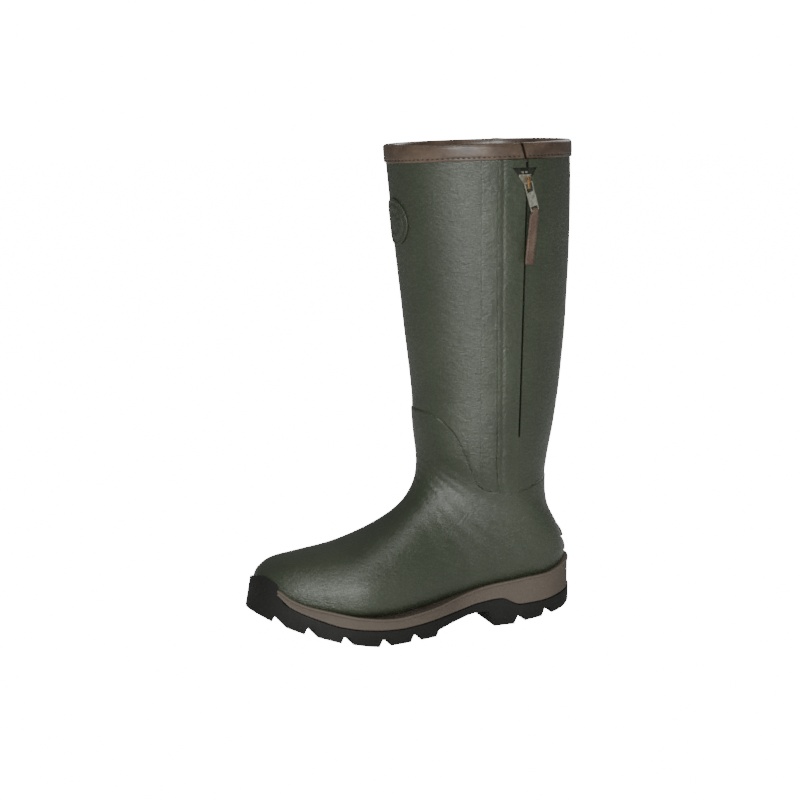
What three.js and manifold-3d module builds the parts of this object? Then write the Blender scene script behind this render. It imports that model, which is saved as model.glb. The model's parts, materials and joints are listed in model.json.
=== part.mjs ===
// A left insulated hunting boot, knee high, with a side zip under a rubber placket.
// Millimetres. The ground is z = 0, the toe points along -Y and the outer side of the foot is +X.
import * as THREE from 'three';
import { mergeVertices } from 'three/addons/utils/BufferGeometryUtils.js';
import Module from 'manifold-3d';

const wasm = await Module();
wasm.setup();

// ---------------------------------------------------------------- driving dimensions
const lastLength = 304;         // length that the lists of points below are drawn for
const soleLength = 304;         // toe bumper to the back of the heel
const rimHeight = 424.5;        // top edge of the rubber shaft above the ground, at the back
const rimDrop = 4.5;            // how much lower the rim is at the front
const ankleHeight = 205;        // where the foot ends and the straight shaft begins
const rimHalfWidth = 67.3;      // half the side-to-side width of the shaft at the rim
const ankleHalfWidth = 53.1;    // and at the ankle height
const gap = 0.3;                // clearance between pieces that touch
const layerGap = 0.5;           // clearance between the curved layers inside the boot

const shaftWall = 2.2;          // rubber of the shaft
const footStep = 0.9;           // how far the foot shell stands proud of the shaft
const footWall = 2.1;           // rubber of the foot shell
const toeCapWall = 0.7;         // extra layer over the toes
const toeCapReach = 93;         // how far in front of the origin its edge lies
const stiffenerWall = 1.2;      // toe puff, heel counter and insole board
const heelCounterTop = 112;
const liningWall = 4;           // neoprene lining
const footbedThickness = 4.7;

const midsoleInset = 1;         // midsole edge inside the outsole edge
const bumperFoot = 24;          // above this the toe bumper's face leans back
const bumperLean = 6.3;
const bumperInner = 12;         // from here inwards its top edge falls
const bumperFall = 0.26;        // for each millimetre further in
const bumperRear = 131.6;       // the fall is only in front of this
const bumperTopHeight = 57.5;
const bumperTopInset = 62;      // height at which the whole lean is reached
const treadBevel = 1.5;
const treadEdge = 7;            // the bevel ends this far above the ground
const treadDepth = 5.8;
const grooveWidth = 5.4;
const grooveFlare = 2.6;        // each side, at the mouth
const channelWidth = 6;         // grooves that run along the sole
const foreChannelX = 1;         // where their inner sides lie
const heelChannelX = -1.5;
const shankWidth = 14;
const shankThickness = 1.6;
const kickerHalfAngle = 15;     // degrees round the heel, each way
const kickerLow = 12.04;        // the stations that it runs between
const kickerHigh = 13.08;
const kickerBase = 0.8;
const kickerRib = 2;            // each rib is a step that grows downwards
const kickerRibCount = 2;

const bindingWall = 1.3;        // leather of the collar binding
const bindingDepth = 14.3;      // how far it comes down the outside at the front and the back
const bindingRise = 2.5;        // how much less that is at the sides
const bindingInnerDepth = 13;
const bindingSlit = 2.5;        // opening above the zip
const slitTop = -8.2;           // it leans: its front edge at the rim and at the notch
const slitFoot = -2.5;

const badgeRadius = 20.5;
const badgeHeight = 356;
const badgeThickness = 1.2;

const zipTopY = 79.8;           // where the zip runs down the outer side, at the rim
const zipBottomY = 82;          // and at its lower end
const zipBottom = 172;          // lower end of the slit above the ground
const slotHalfWidth = 13;       // opening in the shaft under the placket
const slotRun = 10;             // how far that opening goes on below the slit
const liningSlotMargin = 2;
const placketBaseWall = 0.8;
const placketCoverWall = 1.2;
const placketBaseTop = 40;      // front edges, measured round the shaft from the zip
const placketBaseBottom = 32.5;
const placketBaseRear = 24;
const placketCoverTop = 26.5;
const placketCoverBottom = 18.5;
const placketCoverRear = 16.5;
const slitHalfWidth = 0.8;
const slitTail = 3;              // how far the slit runs on below the zip's lower end
const notchDrop = 21;           // top of the V-shaped notch below the rim
const notchHeight = 17;
const notchFront = 14;
const notchRear = 9;

const toothPitch = 4.6;
const toothDepth = 2.1;         // along the zip's outward axis
const toothInner = 0.65;        // from the centre line to the tip of a tooth
const toothOuter = 3;
const toothTop = -1.55;         // outward place of the tooth's outer face
const tapeWidth = 9.4;
const tapeThickness = 0.6;
const sliderLength = 13.5;
const sliderHalfWidth = 6;
const sliderPlate = 0.8;
const sliderTop = 25;           // parked below the rim
const stopLength = 2;
const bailHalfWidth = 1.3;
const bailLength = 10;
const bailThickness = 1.2;
const crossbarRadius = 0.7;
const pullLength = 25;
const pullWidth = 8;
const pullThickness = 1.2;
const pullRail = 0.9;           // metal left beside its openings
const pullBarHalf = 0.75;       // half the height of the bar that carries the strap
const pullTilt = 17;            // degrees that the pull tab leans to the rear
const strapLength = 46;
const strapWidth = 8;
const strapPly = 0.9;
const strapTilt = -6;

// ---------------------------------------------------------------- small helpers
const stretch = soleLength / lastLength;
const radians = THREE.MathUtils.degToRad;
const yz = (points) => points.map(([y, z]) => new THREE.Vector2(y * stretch, z));

// A closed surface through rings of points. A ring of one point is a pole.
function loft(rings, wrap = false) {
  const positions = [];
  const indices = [];
  const starts = [];
  for (const ring of rings) {
    starts.push(positions.length / 3);
    for (const point of ring) positions.push(point.x, point.y, point.z);
  }
  const count = Math.max(...rings.map((ring) => ring.length));
  const last = wrap ? rings.length : rings.length - 1;
  for (let row = 0; row < last; row += 1) {
    const next = (row + 1) % rings.length;
    const at = (ring, i) => starts[ring] + (rings[ring].length === 1 ? 0 : i % count);
    for (let i = 0; i < count; i += 1) {
      const [a, b, c, d] = [at(row, i), at(row, i + 1), at(next, i + 1), at(next, i)];
      if (a !== b) indices.push(a, b, c);
      if (c !== d) indices.push(a, c, d);
    }
  }
  return facingOut(positions, indices);
}

// A closed slab between two grids of points with the same rows and columns.
function slab(outer, inner) {
  const rings = outer.map((row, i) => [...row, ...[...inner[i]].reverse()]);
  const width = outer[0].length;
  const body = loft(rings);
  const positions = [...body.getAttribute('position').array];
  const indices = [...body.getIndex().array];
  const ringSize = width * 2;
  const lastStart = (rings.length - 1) * ringSize;
  const flipped = body.userData.flipped;
  for (let i = 0; i < width - 1; i += 1) {
    const low = [i, i + 1, ringSize - 2 - i, ringSize - 1 - i];
    const high = low.map((index) => index + lastStart);
    const first = [low[0], low[2], low[1], low[0], low[3], low[2]];
    const end = [high[0], high[1], high[2], high[0], high[2], high[3]];
    indices.push(...(flipped ? first.reverse() : first));
    indices.push(...(flipped ? end.reverse() : end));
  }
  return facingOut(positions, indices);
}

function facingOut(positions, indices) {
  let volume = 0;
  const point = (i) => new THREE.Vector3().fromArray(positions, 3 * indices[i]);
  for (let i = 0; i < indices.length; i += 3) {
    volume += point(i).dot(point(i + 1).cross(point(i + 2)));
  }
  const geometry = new THREE.BufferGeometry();
  geometry.setAttribute('position', new THREE.Float32BufferAttribute(positions, 3));
  geometry.setIndex(volume < 0 ? [...indices].reverse() : indices);
  geometry.userData.flipped = volume < 0;
  return geometry;
}

function solid(geometry) {
  const bare = geometry.clone();
  bare.deleteAttribute('normal');
  bare.deleteAttribute('uv');
  const merged = mergeVertices(bare, 1e-4);
  const vertProperties = new Float32Array(merged.getAttribute('position').array);
  const triVerts = new Uint32Array(merged.getIndex().array);
  return new wasm.Manifold(new wasm.Mesh({ numProp: 3, vertProperties, triVerts }));
}

function fromSolid(manifold) {
  const mesh = manifold.getMesh();
  const geometry = new THREE.BufferGeometry();
  geometry.setAttribute('position', new THREE.BufferAttribute(mesh.vertProperties, 3));
  geometry.setIndex(new THREE.BufferAttribute(mesh.triVerts, 1));
  return geometry;
}

// A flat outline in Y and Z, made solid from one x to another.
function acrossX(points, fromX, toX) {
  const shape = new THREE.Shape(points);
  const geometry = new THREE.ExtrudeGeometry(shape, { depth: toX - fromX, bevelEnabled: false });
  const turn = new THREE.Matrix4().makeBasis(
    new THREE.Vector3(0, 1, 0), new THREE.Vector3(0, 0, 1), new THREE.Vector3(1, 0, 0));
  geometry.applyMatrix4(turn).translate(fromX, 0, 0);
  return solid(geometry);
}

function upZ(points, fromZ, toZ) {
  const shape = new THREE.Shape(points);
  const geometry = new THREE.ExtrudeGeometry(shape, { depth: toZ - fromZ, bevelEnabled: false });
  return solid(geometry.translate(0, 0, fromZ));
}

function box(low, high) {
  const size = high.map((value, i) => value - low[i]);
  const middle = high.map((value, i) => (value + low[i]) / 2);
  return new THREE.BoxGeometry(...size).translate(...middle);
}

// ---------------------------------------------------------------- the shape of the upper
// Sections fan round the ankle. Each has its front and back point in Y and Z, half its width,
// how far its middle is shifted to the outer side, and how flat its underside is (1 in the foot).
const stations = [
  { front: [-140, 50], back: [-140, 49], half: 1, shift: -2, flat: 1 },
  { front: [-138, 55], back: [-138, 42.5], half: 13, shift: -2, flat: 1 },
  { front: [-132, 60], back: [-132, 36], half: 26, shift: -2.5, flat: 1 },
  { front: [-120, 65], back: [-120, 29], half: 38.5, shift: -3.3, flat: 1 },
  { front: [-98, 69.8], back: [-98, 23], half: 48.5, shift: -0.5, flat: 1 },
  { front: [-66, 76.5], back: [-66, 19], half: 55, shift: 4.8, flat: 1 },
  { front: [-38, 87.4], back: [-34, 17.5], half: 52, shift: 6.5, flat: 1 },
  { front: [-17, 99.2], back: [-3, 19.5], half: 46, shift: 6.5, flat: 1 },
  { front: [-3.5, 109.5], back: [28, 23.5], half: 42.5, shift: 4, flat: 1 },
  { front: [4, 120], back: [62, 27], half: 40.6, shift: 2, flat: 0.9 },
  { front: [7.8, 129.5], back: [100, 28.5], half: 41.2, shift: 0.8, flat: 0.8 },
  { front: [9.2, 138], back: [132, 33], half: 42.6, shift: 0, flat: 0.7 },
  { front: [9.3, 146], back: [145.6, 52], half: 43.5, shift: 0, flat: 0.5 },
  { front: [8.9, 154], back: [140.4, 76], half: 45, shift: 0, flat: 0.3 },
  { front: [8, 163], back: [130, 98], half: 47, shift: 0, flat: 0.1 },
  { front: [7, 172], back: [127.6, 120], half: 48.6, shift: 0, flat: 0 },
  { front: [6.2, 181], back: [130.2, 145], half: 50.2, shift: 0, flat: 0 },
  { front: [5.6, 190], back: [135.2, 172], half: 51.6, shift: 0, flat: 0 },
];
// Level rings of the shaft: share of the way from the ankle to the rim, front and back.
const shaftRings = [[0, 5, 140], [0.12, 2.1, 142.6], [0.26, -1.8, 145.1], [0.4, -5.3, 146.4],
  [0.54, -9, 147.5], [0.68, -12.5, 147.8], [0.84, -16, 147.4], [0.94, -18.2, 146.6],
  [1, -19.2, 146]];
const shaftStart = stations.length;
for (const [share, front, back] of shaftRings) {
  const z = ankleHeight + share * (rimHeight - ankleHeight);
  const half = ankleHalfWidth + share * (rimHalfWidth - ankleHalfWidth);
  stations.push({ front: [front, z - share * rimDrop], back: [back, z], half, shift: 0, flat: 0 });
}
const lastStation = stations.length - 1;
const lineThrough = (pick) => new THREE.CatmullRomCurve3(stations.map(pick), false, 'catmullrom', 0.5);
const frontLine = lineThrough(({ front }) => new THREE.Vector3(0, front[0] * stretch, front[1]));
const backLine = lineThrough(({ back }) => new THREE.Vector3(0, back[0] * stretch, back[1]));
const sizeLine = lineThrough(({ half, shift, flat }) => new THREE.Vector3(half, shift, flat));

// A point of the upper's skin. The angle is 0 on the outer side, 90 at the front or top.
function onSkin(station, angle) {
  const share = station / lastStation;
  const front = frontLine.getPoint(share);
  const back = backLine.getPoint(share);
  const size = sizeLine.getPoint(share);
  const c = Math.cos(radians(angle));
  const s = Math.sin(radians(angle));
  const power = 2 + (s < 0 ? 1.1 : 0.15) * size.z;
  const reach = (Math.abs(c) ** power + Math.abs(s) ** power) ** (-1 / power);
  const widest = 0.5 - 0.13 * size.z;
  const along = widest + s * reach * (s < 0 ? widest : 1 - widest);
  const point = back.lerp(front, along);
  point.x = size.y + size.x * c * reach;
  return point;
}

function skinNormal(station, angle) {
  const step = 0.03;
  const low = Math.max(station - step, step / 2);
  const high = Math.min(station + step, lastStation);
  const along = onSkin(high, angle).sub(onSkin(low, angle));
  const round = onSkin(station, angle + 0.5).sub(onSkin(station, angle - 0.5));
  return along.cross(round).normalize();
}

function layerPoint(station, angle, offset) {
  if (station === 0) {
    return onSkin(0, -90).add(new THREE.Vector3(0, -offset, 0));
  }
  const point = onSkin(station, angle);
  const level = point.z;
  point.addScaledVector(skinNormal(station, angle), offset);
  if (station >= shaftStart) point.z = level;
  return point;
}

// Where the sections are taken: close together over the toe and the heel, further apart on the leg.
const footCuts = [0, 0.5, 1, 1.5, 2, 3, 4, 5, 6, 7, 8, 9, 10, 11, 11.5, 12, 12.5, 13, 14, 15, 16, 17];
const shaftCuts = stations.map((_, i) => i).filter((i) => i >= shaftStart);
const allCuts = [...footCuts, ...shaftCuts];
const roundSteps = 32;
const ringAngles = Array.from({ length: roundSteps }, (_, i) => (i * 360) / roundSteps);

function ringAt(station, offset) {
  if (station === 0) return [layerPoint(0, 0, offset)];
  return ringAngles.map((angle) => layerPoint(station, angle, offset));
}

// The rubber or cloth between two offsets from the skin, from one section to another.
function layer(outer, inner, cuts) {
  const outside = cuts.map((station) => ringAt(station, outer));
  const inside = cuts.map((station) => ringAt(station, inner)).reverse();
  return solid(loft([...outside, ...inside], cuts[0] !== 0));
}

// Everything inside an offset of the skin, closed at its last section.
function filled(offset, cuts) {
  const rings = cuts.map((station) => ringAt(station, offset));
  const end = rings[rings.length - 1];
  const middle = end.reduce((sum, point) => sum.add(point), new THREE.Vector3());
  return solid(loft([...rings, [middle.divideScalar(end.length)]]));
}

// A piece of a layer between two sections and two angles.
function patch(cuts, angles, outer, inner) {
  const grid = (offset) => cuts.map((station) => angles.map((angle) => (
    layerPoint(station, angle, typeof offset === 'function' ? offset(station, angle) : offset))));
  return slab(grid(outer), grid(inner));
}

const spread = (from, to, count) => Array.from({ length: count }, (_, i) => (
  from + ((to - from) * i) / (count - 1)));

// ---------------------------------------------------------------- places on the shaft
// The angle at which a section crosses the zip's line, then a distance round it to the rear.
function angleOf(station, distance) {
  const front = frontLine.getPoint(station / lastStation).y;
  const back = backLine.getPoint(station / lastStation).y;
  const halfDepth = (back - front) / 2;
  const level = Math.min(1, Math.max(0, (onSkin(station, 0).z - zipBottom) / (rimHeight - zipBottom)));
  const zipY = zipBottomY + level * (zipTopY - zipBottomY);
  const zipAngle = Math.asin(((front + back) / 2 - zipY * stretch) / halfDepth);
  return THREE.MathUtils.radToDeg(zipAngle - distance / halfDepth);
}

// The section that reaches a height where angleAt gives its angle.
function stationAtHeight(z, angleAt) {
  let low = shaftStart - 8;
  let high = lastStation;
  for (let i = 0; i < 30; i += 1) {
    const middle = (low + high) / 2;
    if (onSkin(middle, angleAt(middle)).z < z) low = middle;
    else high = middle;
  }
  return high;
}

const stationBesideZip = (z, distance) => stationAtHeight(z, (station) => angleOf(station, distance));

// A strip laid on the shaft. Its edges are distances from the zip's line, given for each height.
function strip(heights, edgeA, edgeB, columns, outer, inner) {
  const grid = (offset) => heights.map((z) => spread(edgeA(z), edgeB(z), columns).map((distance) => {
    const station = stationBesideZip(z, distance);
    return layerPoint(station, angleOf(station, distance), offset);
  }));
  return solid(slab(grid(outer), grid(inner)));
}

// The zip is straight: u runs down it, v to the rear and w outwards.
const zipPoint = (z) => {
  const station = stationBesideZip(z, 0);
  return layerPoint(station, angleOf(station, 0), 0);
};
const zipStart = zipPoint(rimHeight);
const zipEnd = zipPoint(zipBottom);
const zipDown = zipEnd.clone().sub(zipStart).normalize();
const midStation = stationBesideZip((rimHeight + zipBottom) / 2, 0);
const skinOut = skinNormal(midStation, angleOf(midStation, 0));
const zipRear = skinOut.clone().cross(zipDown).normalize();
const zipOut = zipDown.clone().cross(zipRear).normalize();
const zipRun = zipEnd.distanceTo(zipStart);
const zipMatrix = new THREE.Matrix4().makeBasis(zipDown, zipRear, zipOut).setPosition(zipStart);
const fromZip = (u, v, w) => new THREE.Vector3(u, v, w).applyMatrix4(zipMatrix);
const inZip = (geometry) => solid(geometry).transform(zipMatrix.toArray());

// An outline in u and v, cut through every layer of the boot beside the zip.
function throughSkin(outline) {
  const shape = new THREE.Shape(outline.map(([u, v]) => new THREE.Vector2(u, v)));
  return inZip(new THREE.ExtrudeGeometry(shape, { depth: 40, bevelEnabled: false }).translate(0, 0, -25));
}

// ---------------------------------------------------------------- lines of the foot
const ground = -2;              // lowest line of the tread, in the heights of these lists
// Upper edge of the foot shell, the edge of the midsole at the top and at the bottom, the toe bumper.
const footShellEdge = [[-60, 192.5], [0.8, 192.6], [8, 192.3], [14, 189.8], [20, 184.5], [28, 175.7],
  [35.3, 160], [41, 144], [46.7, 130.4], [53, 123.8], [66.8, 121], [81.6, 121.4], [98, 123.7],
  [121, 128], [220, 146]];
const midsoleTop = [[-129, 48.2], [-126.4, 44.7], [-121, 41.3], [-114.8, 38.4], [-108.5, 36.1],
  [-92.3, 32.2], [-80, 29], [-67.3, 25.8], [-49.5, 22.8], [-40.3, 21.7], [-30.6, 21.2], [-20.8, 21.6],
  [4.8, 23.9], [15.2, 26.1], [36, 31.4], [53.6, 35.2], [63.6, 36.6], [85.4, 38.6], [98.6, 40.2],
  [111.3, 41], [120.5, 41.9], [134.3, 45.4], [144, 48.2], [148, 49.5], [160, 51]];
const midsoleBottom = [[-129, 42.5], [-126.8, 37], [-122, 33.6], [-115.2, 29.9], [-105.8, 25.9],
  [-92.5, 20.9], [-84.5, 18.1], [-67.6, 14.5], [-48, 12], [-35.9, 11.2], [-26.1, 10.8], [-6, 11.8],
  [4.3, 12.8], [14.8, 14.3], [35.7, 17.9], [46.8, 20.4], [65.8, 22.5], [74, 22.6], [78.5, 20.9],
  [83.6, 17.5], [90.2, 15.2], [98.5, 15.5], [115.8, 16.5], [125.1, 18.1], [136.7, 20.1], [160, 25]];
const bumperTop = [
  [-129.3, 46.5], [-129.6, 49.5], [-131.2, 53.5], [-135.5, 56.2], [-142, bumperTopHeight], [-144.3, 55.5],
];
const treadBottom = [[-152.2, 27], [-147, 25.5], [-141.2, 23.3], [-136, 20.8], [-127.9, 17.7],
  [-112.6, 12.1], [-102, 9.8], [-83, 4.3], [-70.5, 2], [-60, -0.3], [-49.6, ground], [6.5, ground],
  [9, 3.8], [20, 7.2], [39.2, 12.1], [48, 13.2], [60, 12.5], [66, ground], [85, ground], [100, 0.8],
  [114, 2.4], [125, 4.2], [137, 6.2], [150, 11], [160, 14.5]];
const grooves = [-131.5, -107.6, -78.5, -44.5, -14.5, 91, 118];

// Plan of the sole, outer side first from the toe to the heel, then back along the inner side.
const planPoints = [[-6, -149.2], [10, -146.8], [25, -139.3], [40, -123], [51.5, -102], [59, -81],
  [62, -60], [61.5, -40], [57.5, -15], [50.5, 12], [44.5, 38], [42, 62], [42, 88], [41.5, 108],
  [37, 128], [25, 145], [0, 153.8], [-24, 144], [-35.5, 128], [-39.5, 106], [-39, 84], [-37, 60],
  [-36, 34], [-37.5, 6], [-43, -24], [-49.5, -52], [-54, -78], [-53.5, -96], [-49.5, -112.5],
  [-42.5, -127], [-32.5, -138], [-20, -145.5]];

function planOutline(inset) {
  const curve = new THREE.CatmullRomCurve3(
    planPoints.map(([x, y]) => new THREE.Vector3(x, y * stretch, 0)), true, 'centripetal');
  const count = 72;
  return Array.from({ length: count }, (_, i) => {
    const point = curve.getPointAt(i / count);
    const tangent = curve.getTangentAt(i / count);
    return new THREE.Vector2(point.x - tangent.y * inset, point.y + tangent.x * inset);
  });
}

function heightOn(line, y) {
  const i = Math.max(1, line.findIndex(([lineY]) => lineY >= y));
  const [[y0, z0], [y1, z1]] = [line[i - 1], line[i]];
  return z0 + ((z1 - z0) * (y - y0)) / (y1 - y0);
}

const shifted = (line, dy, dz) => line.map(([y, z]) => [y + dy, z + dz]);
const wide = 200;

// ---------------------------------------------------------------- sole
const footSolid = filled(footStep + gap, footCuts);

// The room above the toe bumper on the inner side, where its top edge comes down.
function innerToe(lift) {
  const far = -70;
  const above = 90;
  const high = bumperTopHeight + lift;
  const low = high - (bumperInner - far) * bumperFall;
  const shape = new THREE.Shape([[bumperInner, above], [bumperInner, high], [far, low], [far, above]]
    .map(([x, z]) => new THREE.Vector2(x, z)));
  const turn = new THREE.Matrix4().makeRotationX(Math.PI / 2);
  const prism = new THREE.ExtrudeGeometry(shape, { depth: wide, bevelEnabled: false }).applyMatrix4(turn);
  return solid(prism.translate(0, -bumperRear * stretch, 0));
}

function makeOutsole() {
  const side = [...treadBottom, ...[...midsoleBottom].reverse(), ...bumperTop];
  const under = ground - 1;
  const walls = [[under, treadBevel], [ground + treadEdge, 0], [bumperFoot, 0], [bumperTopInset, bumperLean]];
  const rings = walls.map(([z, inset]) => planOutline(inset).map(({ x, y }) => new THREE.Vector3(x, y, z)));
  const pole = (z) => [new THREE.Vector3(0, 0, z)];
  let sole = solid(loft([pole(under), ...rings, pole(bumperTopInset)]))
    .intersect(acrossX(yz(side), -wide, wide))
    .subtract(innerToe(0));
  for (const y of grooves) {
    const floor = heightOn(treadBottom, y) + treadDepth;
    const half = grooveWidth / 2;
    const mouth = half + grooveFlare;
    const low = floor - treadDepth;
    const cut = [[y - mouth, low - 3], [y + mouth, low - 3], [y + mouth, low], [y + half, floor],
      [y - half, floor + 0.6], [y - mouth, low]];
    sole = sole.subtract(acrossX(yz(cut), -wide, wide));
  }
  const channel = [[-118, ground - 3], [0, ground - 3], [0, treadDepth - 3], [-60, treadDepth - 3],
    [-83, treadDepth + 3.2], [-118, treadDepth + 12]];
  sole = sole.subtract(acrossX(yz(channel), foreChannelX, foreChannelX + channelWidth));
  const heelChannel = [[74, ground - 3], [131, ground - 3], [131, treadDepth + 2], [74, treadDepth - 3]];
  sole = sole.subtract(acrossX(yz(heelChannel), heelChannelX, heelChannelX + channelWidth));
  return sole.subtract(footSolid);
}

function shankOutline(grow) {
  const bed = [[-4, 19.4], [28, 23.4], [62, 26.7], [96, 28.2]];
  const top = bed.map(([y, z]) => [y, z - footStep - 2 * gap]);
  const bottom = shifted(top, 0, -shankThickness);
  const ends = grow ? [shifted(top, 0, 6), shifted(bottom, 0, -grow)] : [top, bottom];
  ends.forEach((line) => {
    line[0] = [line[0][0] - grow, line[0][1]];
    line[3] = [line[3][0] + grow, line[3][1]];
  });
  return yz([...ends[1], ...ends[0].reverse()]);
}

function makeMidsole() {
  const side = [...shifted(midsoleBottom, 0, gap), ...[...midsoleTop].reverse()];
  const half = shankWidth / 2 + gap;
  return upZ(planOutline(midsoleInset), 0, 70)
    .intersect(acrossX(yz(side), -wide, wide))
    .subtract(footSolid)
    .subtract(acrossX(shankOutline(gap), -half, half));
}

function makeShank() {
  return acrossX(shankOutline(0), -shankWidth / 2, shankWidth / 2);
}

// Ribbed rubber block up the back of the heel, for pushing the boot off.
function makeHeelKicker() {
  const ribSteps = 5;
  const cuts = spread(kickerLow, kickerHigh, kickerRibCount * ribSteps + 1);
  const rib = (station) => {
    const down = (kickerRibCount * (cuts[cuts.length - 1] - station)) / (cuts[cuts.length - 1] - cuts[0]);
    const share = down >= kickerRibCount ? 1 : (down + 1e-6) % 1;
    return footStep + gap + kickerBase + kickerRib * Math.sin((share * Math.PI) / 1.6);
  };
  const angles = spread(-90 - kickerHalfAngle, -90 + kickerHalfAngle, 7);
  return solid(patch(cuts, angles, rib, footStep + gap));
}

// ---------------------------------------------------------------- upper
const footRegion = (grow) => acrossX(
  yz([...shifted(footShellEdge, grow, grow), [220, -60], [-200, -60], [-200, 192.5]]), -wide, wide);

function makeFootShell() {
  return layer(footStep, footStep - footWall, footCuts.concat(shaftCuts.slice(0, 2)))
    .intersect(footRegion(0));
}

function slotCutter(halfWidth, bottomZ) {
  return inZip(box([-30, -halfWidth, -25], [rimHeight - bottomZ, halfWidth, 12]));
}

function makeShaft() {
  const cuts = allCuts.filter((station) => station >= 8);
  return layer(0, -shaftWall, cuts)
    .subtract(footRegion(gap))
    .subtract(slotCutter(slotHalfWidth, zipBottom - slotRun));
}

function makeToeCap() {
  const low = [...shifted(midsoleTop, 0, 0.5)].reverse().filter(([y]) => y < -70);
  const lip = shifted(bumperTop, 0.2, 0.8).slice(1, 5);
  const edge = [...low, ...lip, [-170, lip[3][1]], [-170, 120], [-toeCapReach, 120], [-toeCapReach, 60]];
  return layer(footStep + gap + toeCapWall, footStep + gap, footCuts.slice(0, 9))
    .intersect(acrossX(yz(edge), -wide, wide).add(innerToe(0.8)));
}

const stiffenerOut = footStep - footWall - layerGap;
const stiffenerIn = stiffenerOut - stiffenerWall;

const stiffener = (from, to, low, high) => solid(patch(
  footCuts.filter((station) => station >= from && station <= to),
  ringAngles.filter((angle) => angle >= low && angle <= high),
  stiffenerOut, stiffenerIn));

function makeToePuff() {
  return stiffener(0.5, 3, 10, 170);
}

function makeHeelCounter() {
  const below = [[-60, -60], [220, -60], [220, heelCounterTop], [-60, heelCounterTop]];
  return stiffener(12, 14, 190, 350).intersect(acrossX(yz(below), -wide, wide));
}

function makeInsoleBoard() {
  return stiffener(1.5, 11.5, 220, 320);
}

const liningOut = stiffenerIn - layerGap;
const liningIn = liningOut - liningWall;

function makeLining() {
  return layer(liningOut, liningIn, allCuts)
    .subtract(slotCutter(slotHalfWidth + liningSlotMargin, zipBottom - slotRun - liningSlotMargin));
}

function makeFootbed() {
  const top = [[-124, 42.3], [-98, 34], [-66, 29.4], [-34, 29.4], [-3, 31.9], [28, 35.9], [62, 39.4],
    [100, 41], [128, 42.9]];
  const under = shifted(top, 0, -liningWall - 4 * footbedThickness);
  return filled(liningIn - layerGap, footCuts.filter((station) => station < 12.6))
    .intersect(acrossX(yz([...under, ...[...top].reverse()]), -wide, wide));
}

// Leather folded over the rim, open above the zip. Its profile is offsets and drops from the rim.
function makeCollarBinding() {
  const out = gap + bindingWall;
  const back = liningIn - gap - bindingWall;
  const top = gap + bindingWall;
  const foot = (angle) => bindingDepth - bindingRise * Math.abs(Math.cos(radians(angle)));
  const profile = [[gap, foot], [out, foot], [out, 1], [out - bindingWall / 2, -top],
    [back + bindingWall / 2, -top], [back, 1], [back, bindingInnerDepth], [liningIn - gap, bindingInnerDepth],
    [liningIn - gap, -gap], [gap, -gap]];
  const rings = profile.map(([offset, fall]) => ringAngles.map((angle) => {
    const rim = onSkin(lastStation, angle).z;
    const drop = typeof fall === 'function' ? fall(angle) : fall;
    const point = layerPoint(stationAtHeight(rim - drop, () => angle), angle, offset);
    return point.setZ(rim - drop);
  }));
  const low = bindingDepth + gap;
  const slit = [[-6, slitTop], [low, slitFoot], [low, slitFoot + bindingSlit], [-6, slitTop + bindingSlit]];
  return solid(loft(rings, true)).subtract(throughSkin(slit));
}

function makeBadge() {
  const station = stationAtHeight(badgeHeight, () => 90);
  const disc = new THREE.CylinderGeometry(badgeRadius, badgeRadius, 60, 48)
    .translate(0, layerPoint(station, 90, 0).y, badgeHeight);
  const cuts = stations.map((_, i) => i).filter((i) => i >= shaftStart + 3);
  return layer(gap + badgeThickness, gap, cuts).intersect(solid(disc));
}

// ---------------------------------------------------------------- placket
const placketTop = rimHeight - 0.7 * rimDrop - bindingDepth + bindingRise - gap;
const placketFoot = Math.min(...footShellEdge.map(([, z]) => z)) - 3;
const placketHeights = [placketFoot, 130, 145, 160, 175, 200, 230, 265, 300, 340, 380, placketTop];

const placketShare = (z) => (z - placketFoot) / (placketTop - placketFoot);

function makePlacketBase() {
  const front = (z) => -(placketBaseBottom + placketShare(z) * (placketBaseTop - placketBaseBottom));
  const base = strip(placketHeights, front, () => placketBaseRear, 11, gap + placketBaseWall, gap);
  return base.subtract(slotCutter(slotHalfWidth + gap, zipBottom - slotRun - gap)).subtract(footRegion(gap));
}

function makePlacketCover() {
  const inner = gap + placketBaseWall + gap;
  const front = (z) => -(placketCoverBottom + placketShare(z) * (placketCoverTop - placketCoverBottom));
  const cover = strip(placketHeights, front, () => placketCoverRear, 11, inner + placketCoverWall, inner);
  const tip = notchDrop + notchHeight;
  const end = zipRun + slitTail;
  const slit = [[tip - 2, -slitHalfWidth], [end, -slitHalfWidth], [end, slitHalfWidth],
    [tip - 2, slitHalfWidth]];
  const notch = [[notchDrop, -notchFront], [tip, -slitHalfWidth], [tip, slitHalfWidth],
    [notchDrop, notchRear]];
  const leadTop = bindingDepth - bindingRise - 3;
  const lead = [[leadTop, slitFoot], [notchDrop + 1, slitFoot + 0.8],
    [notchDrop + 1, slitFoot + 0.8 + bindingSlit], [leadTop, slitFoot + bindingSlit]];
  return [slit, notch, lead].reduce((cut, outline) => cut.subtract(throughSkin(outline)), cover)
    .subtract(footRegion(gap));
}

// ---------------------------------------------------------------- zip
const toothBottom = toothTop - toothDepth;
const toothMiddle = (toothTop + toothBottom) / 2;
const rowStart = sliderTop - gap;
const rowEnd = zipRun + 4;
const sliderTravel = rowEnd - sliderTop - sliderLength - gap;

function makeTape(side) {
  const v = [side * (toothOuter + gap), side * (toothOuter + gap + tapeWidth)].sort((a, b) => a - b);
  const half = tapeThickness / 2;
  return box([3, v[0], toothMiddle - half], [rowEnd + 5, v[1], toothMiddle + half]);
}

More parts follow.
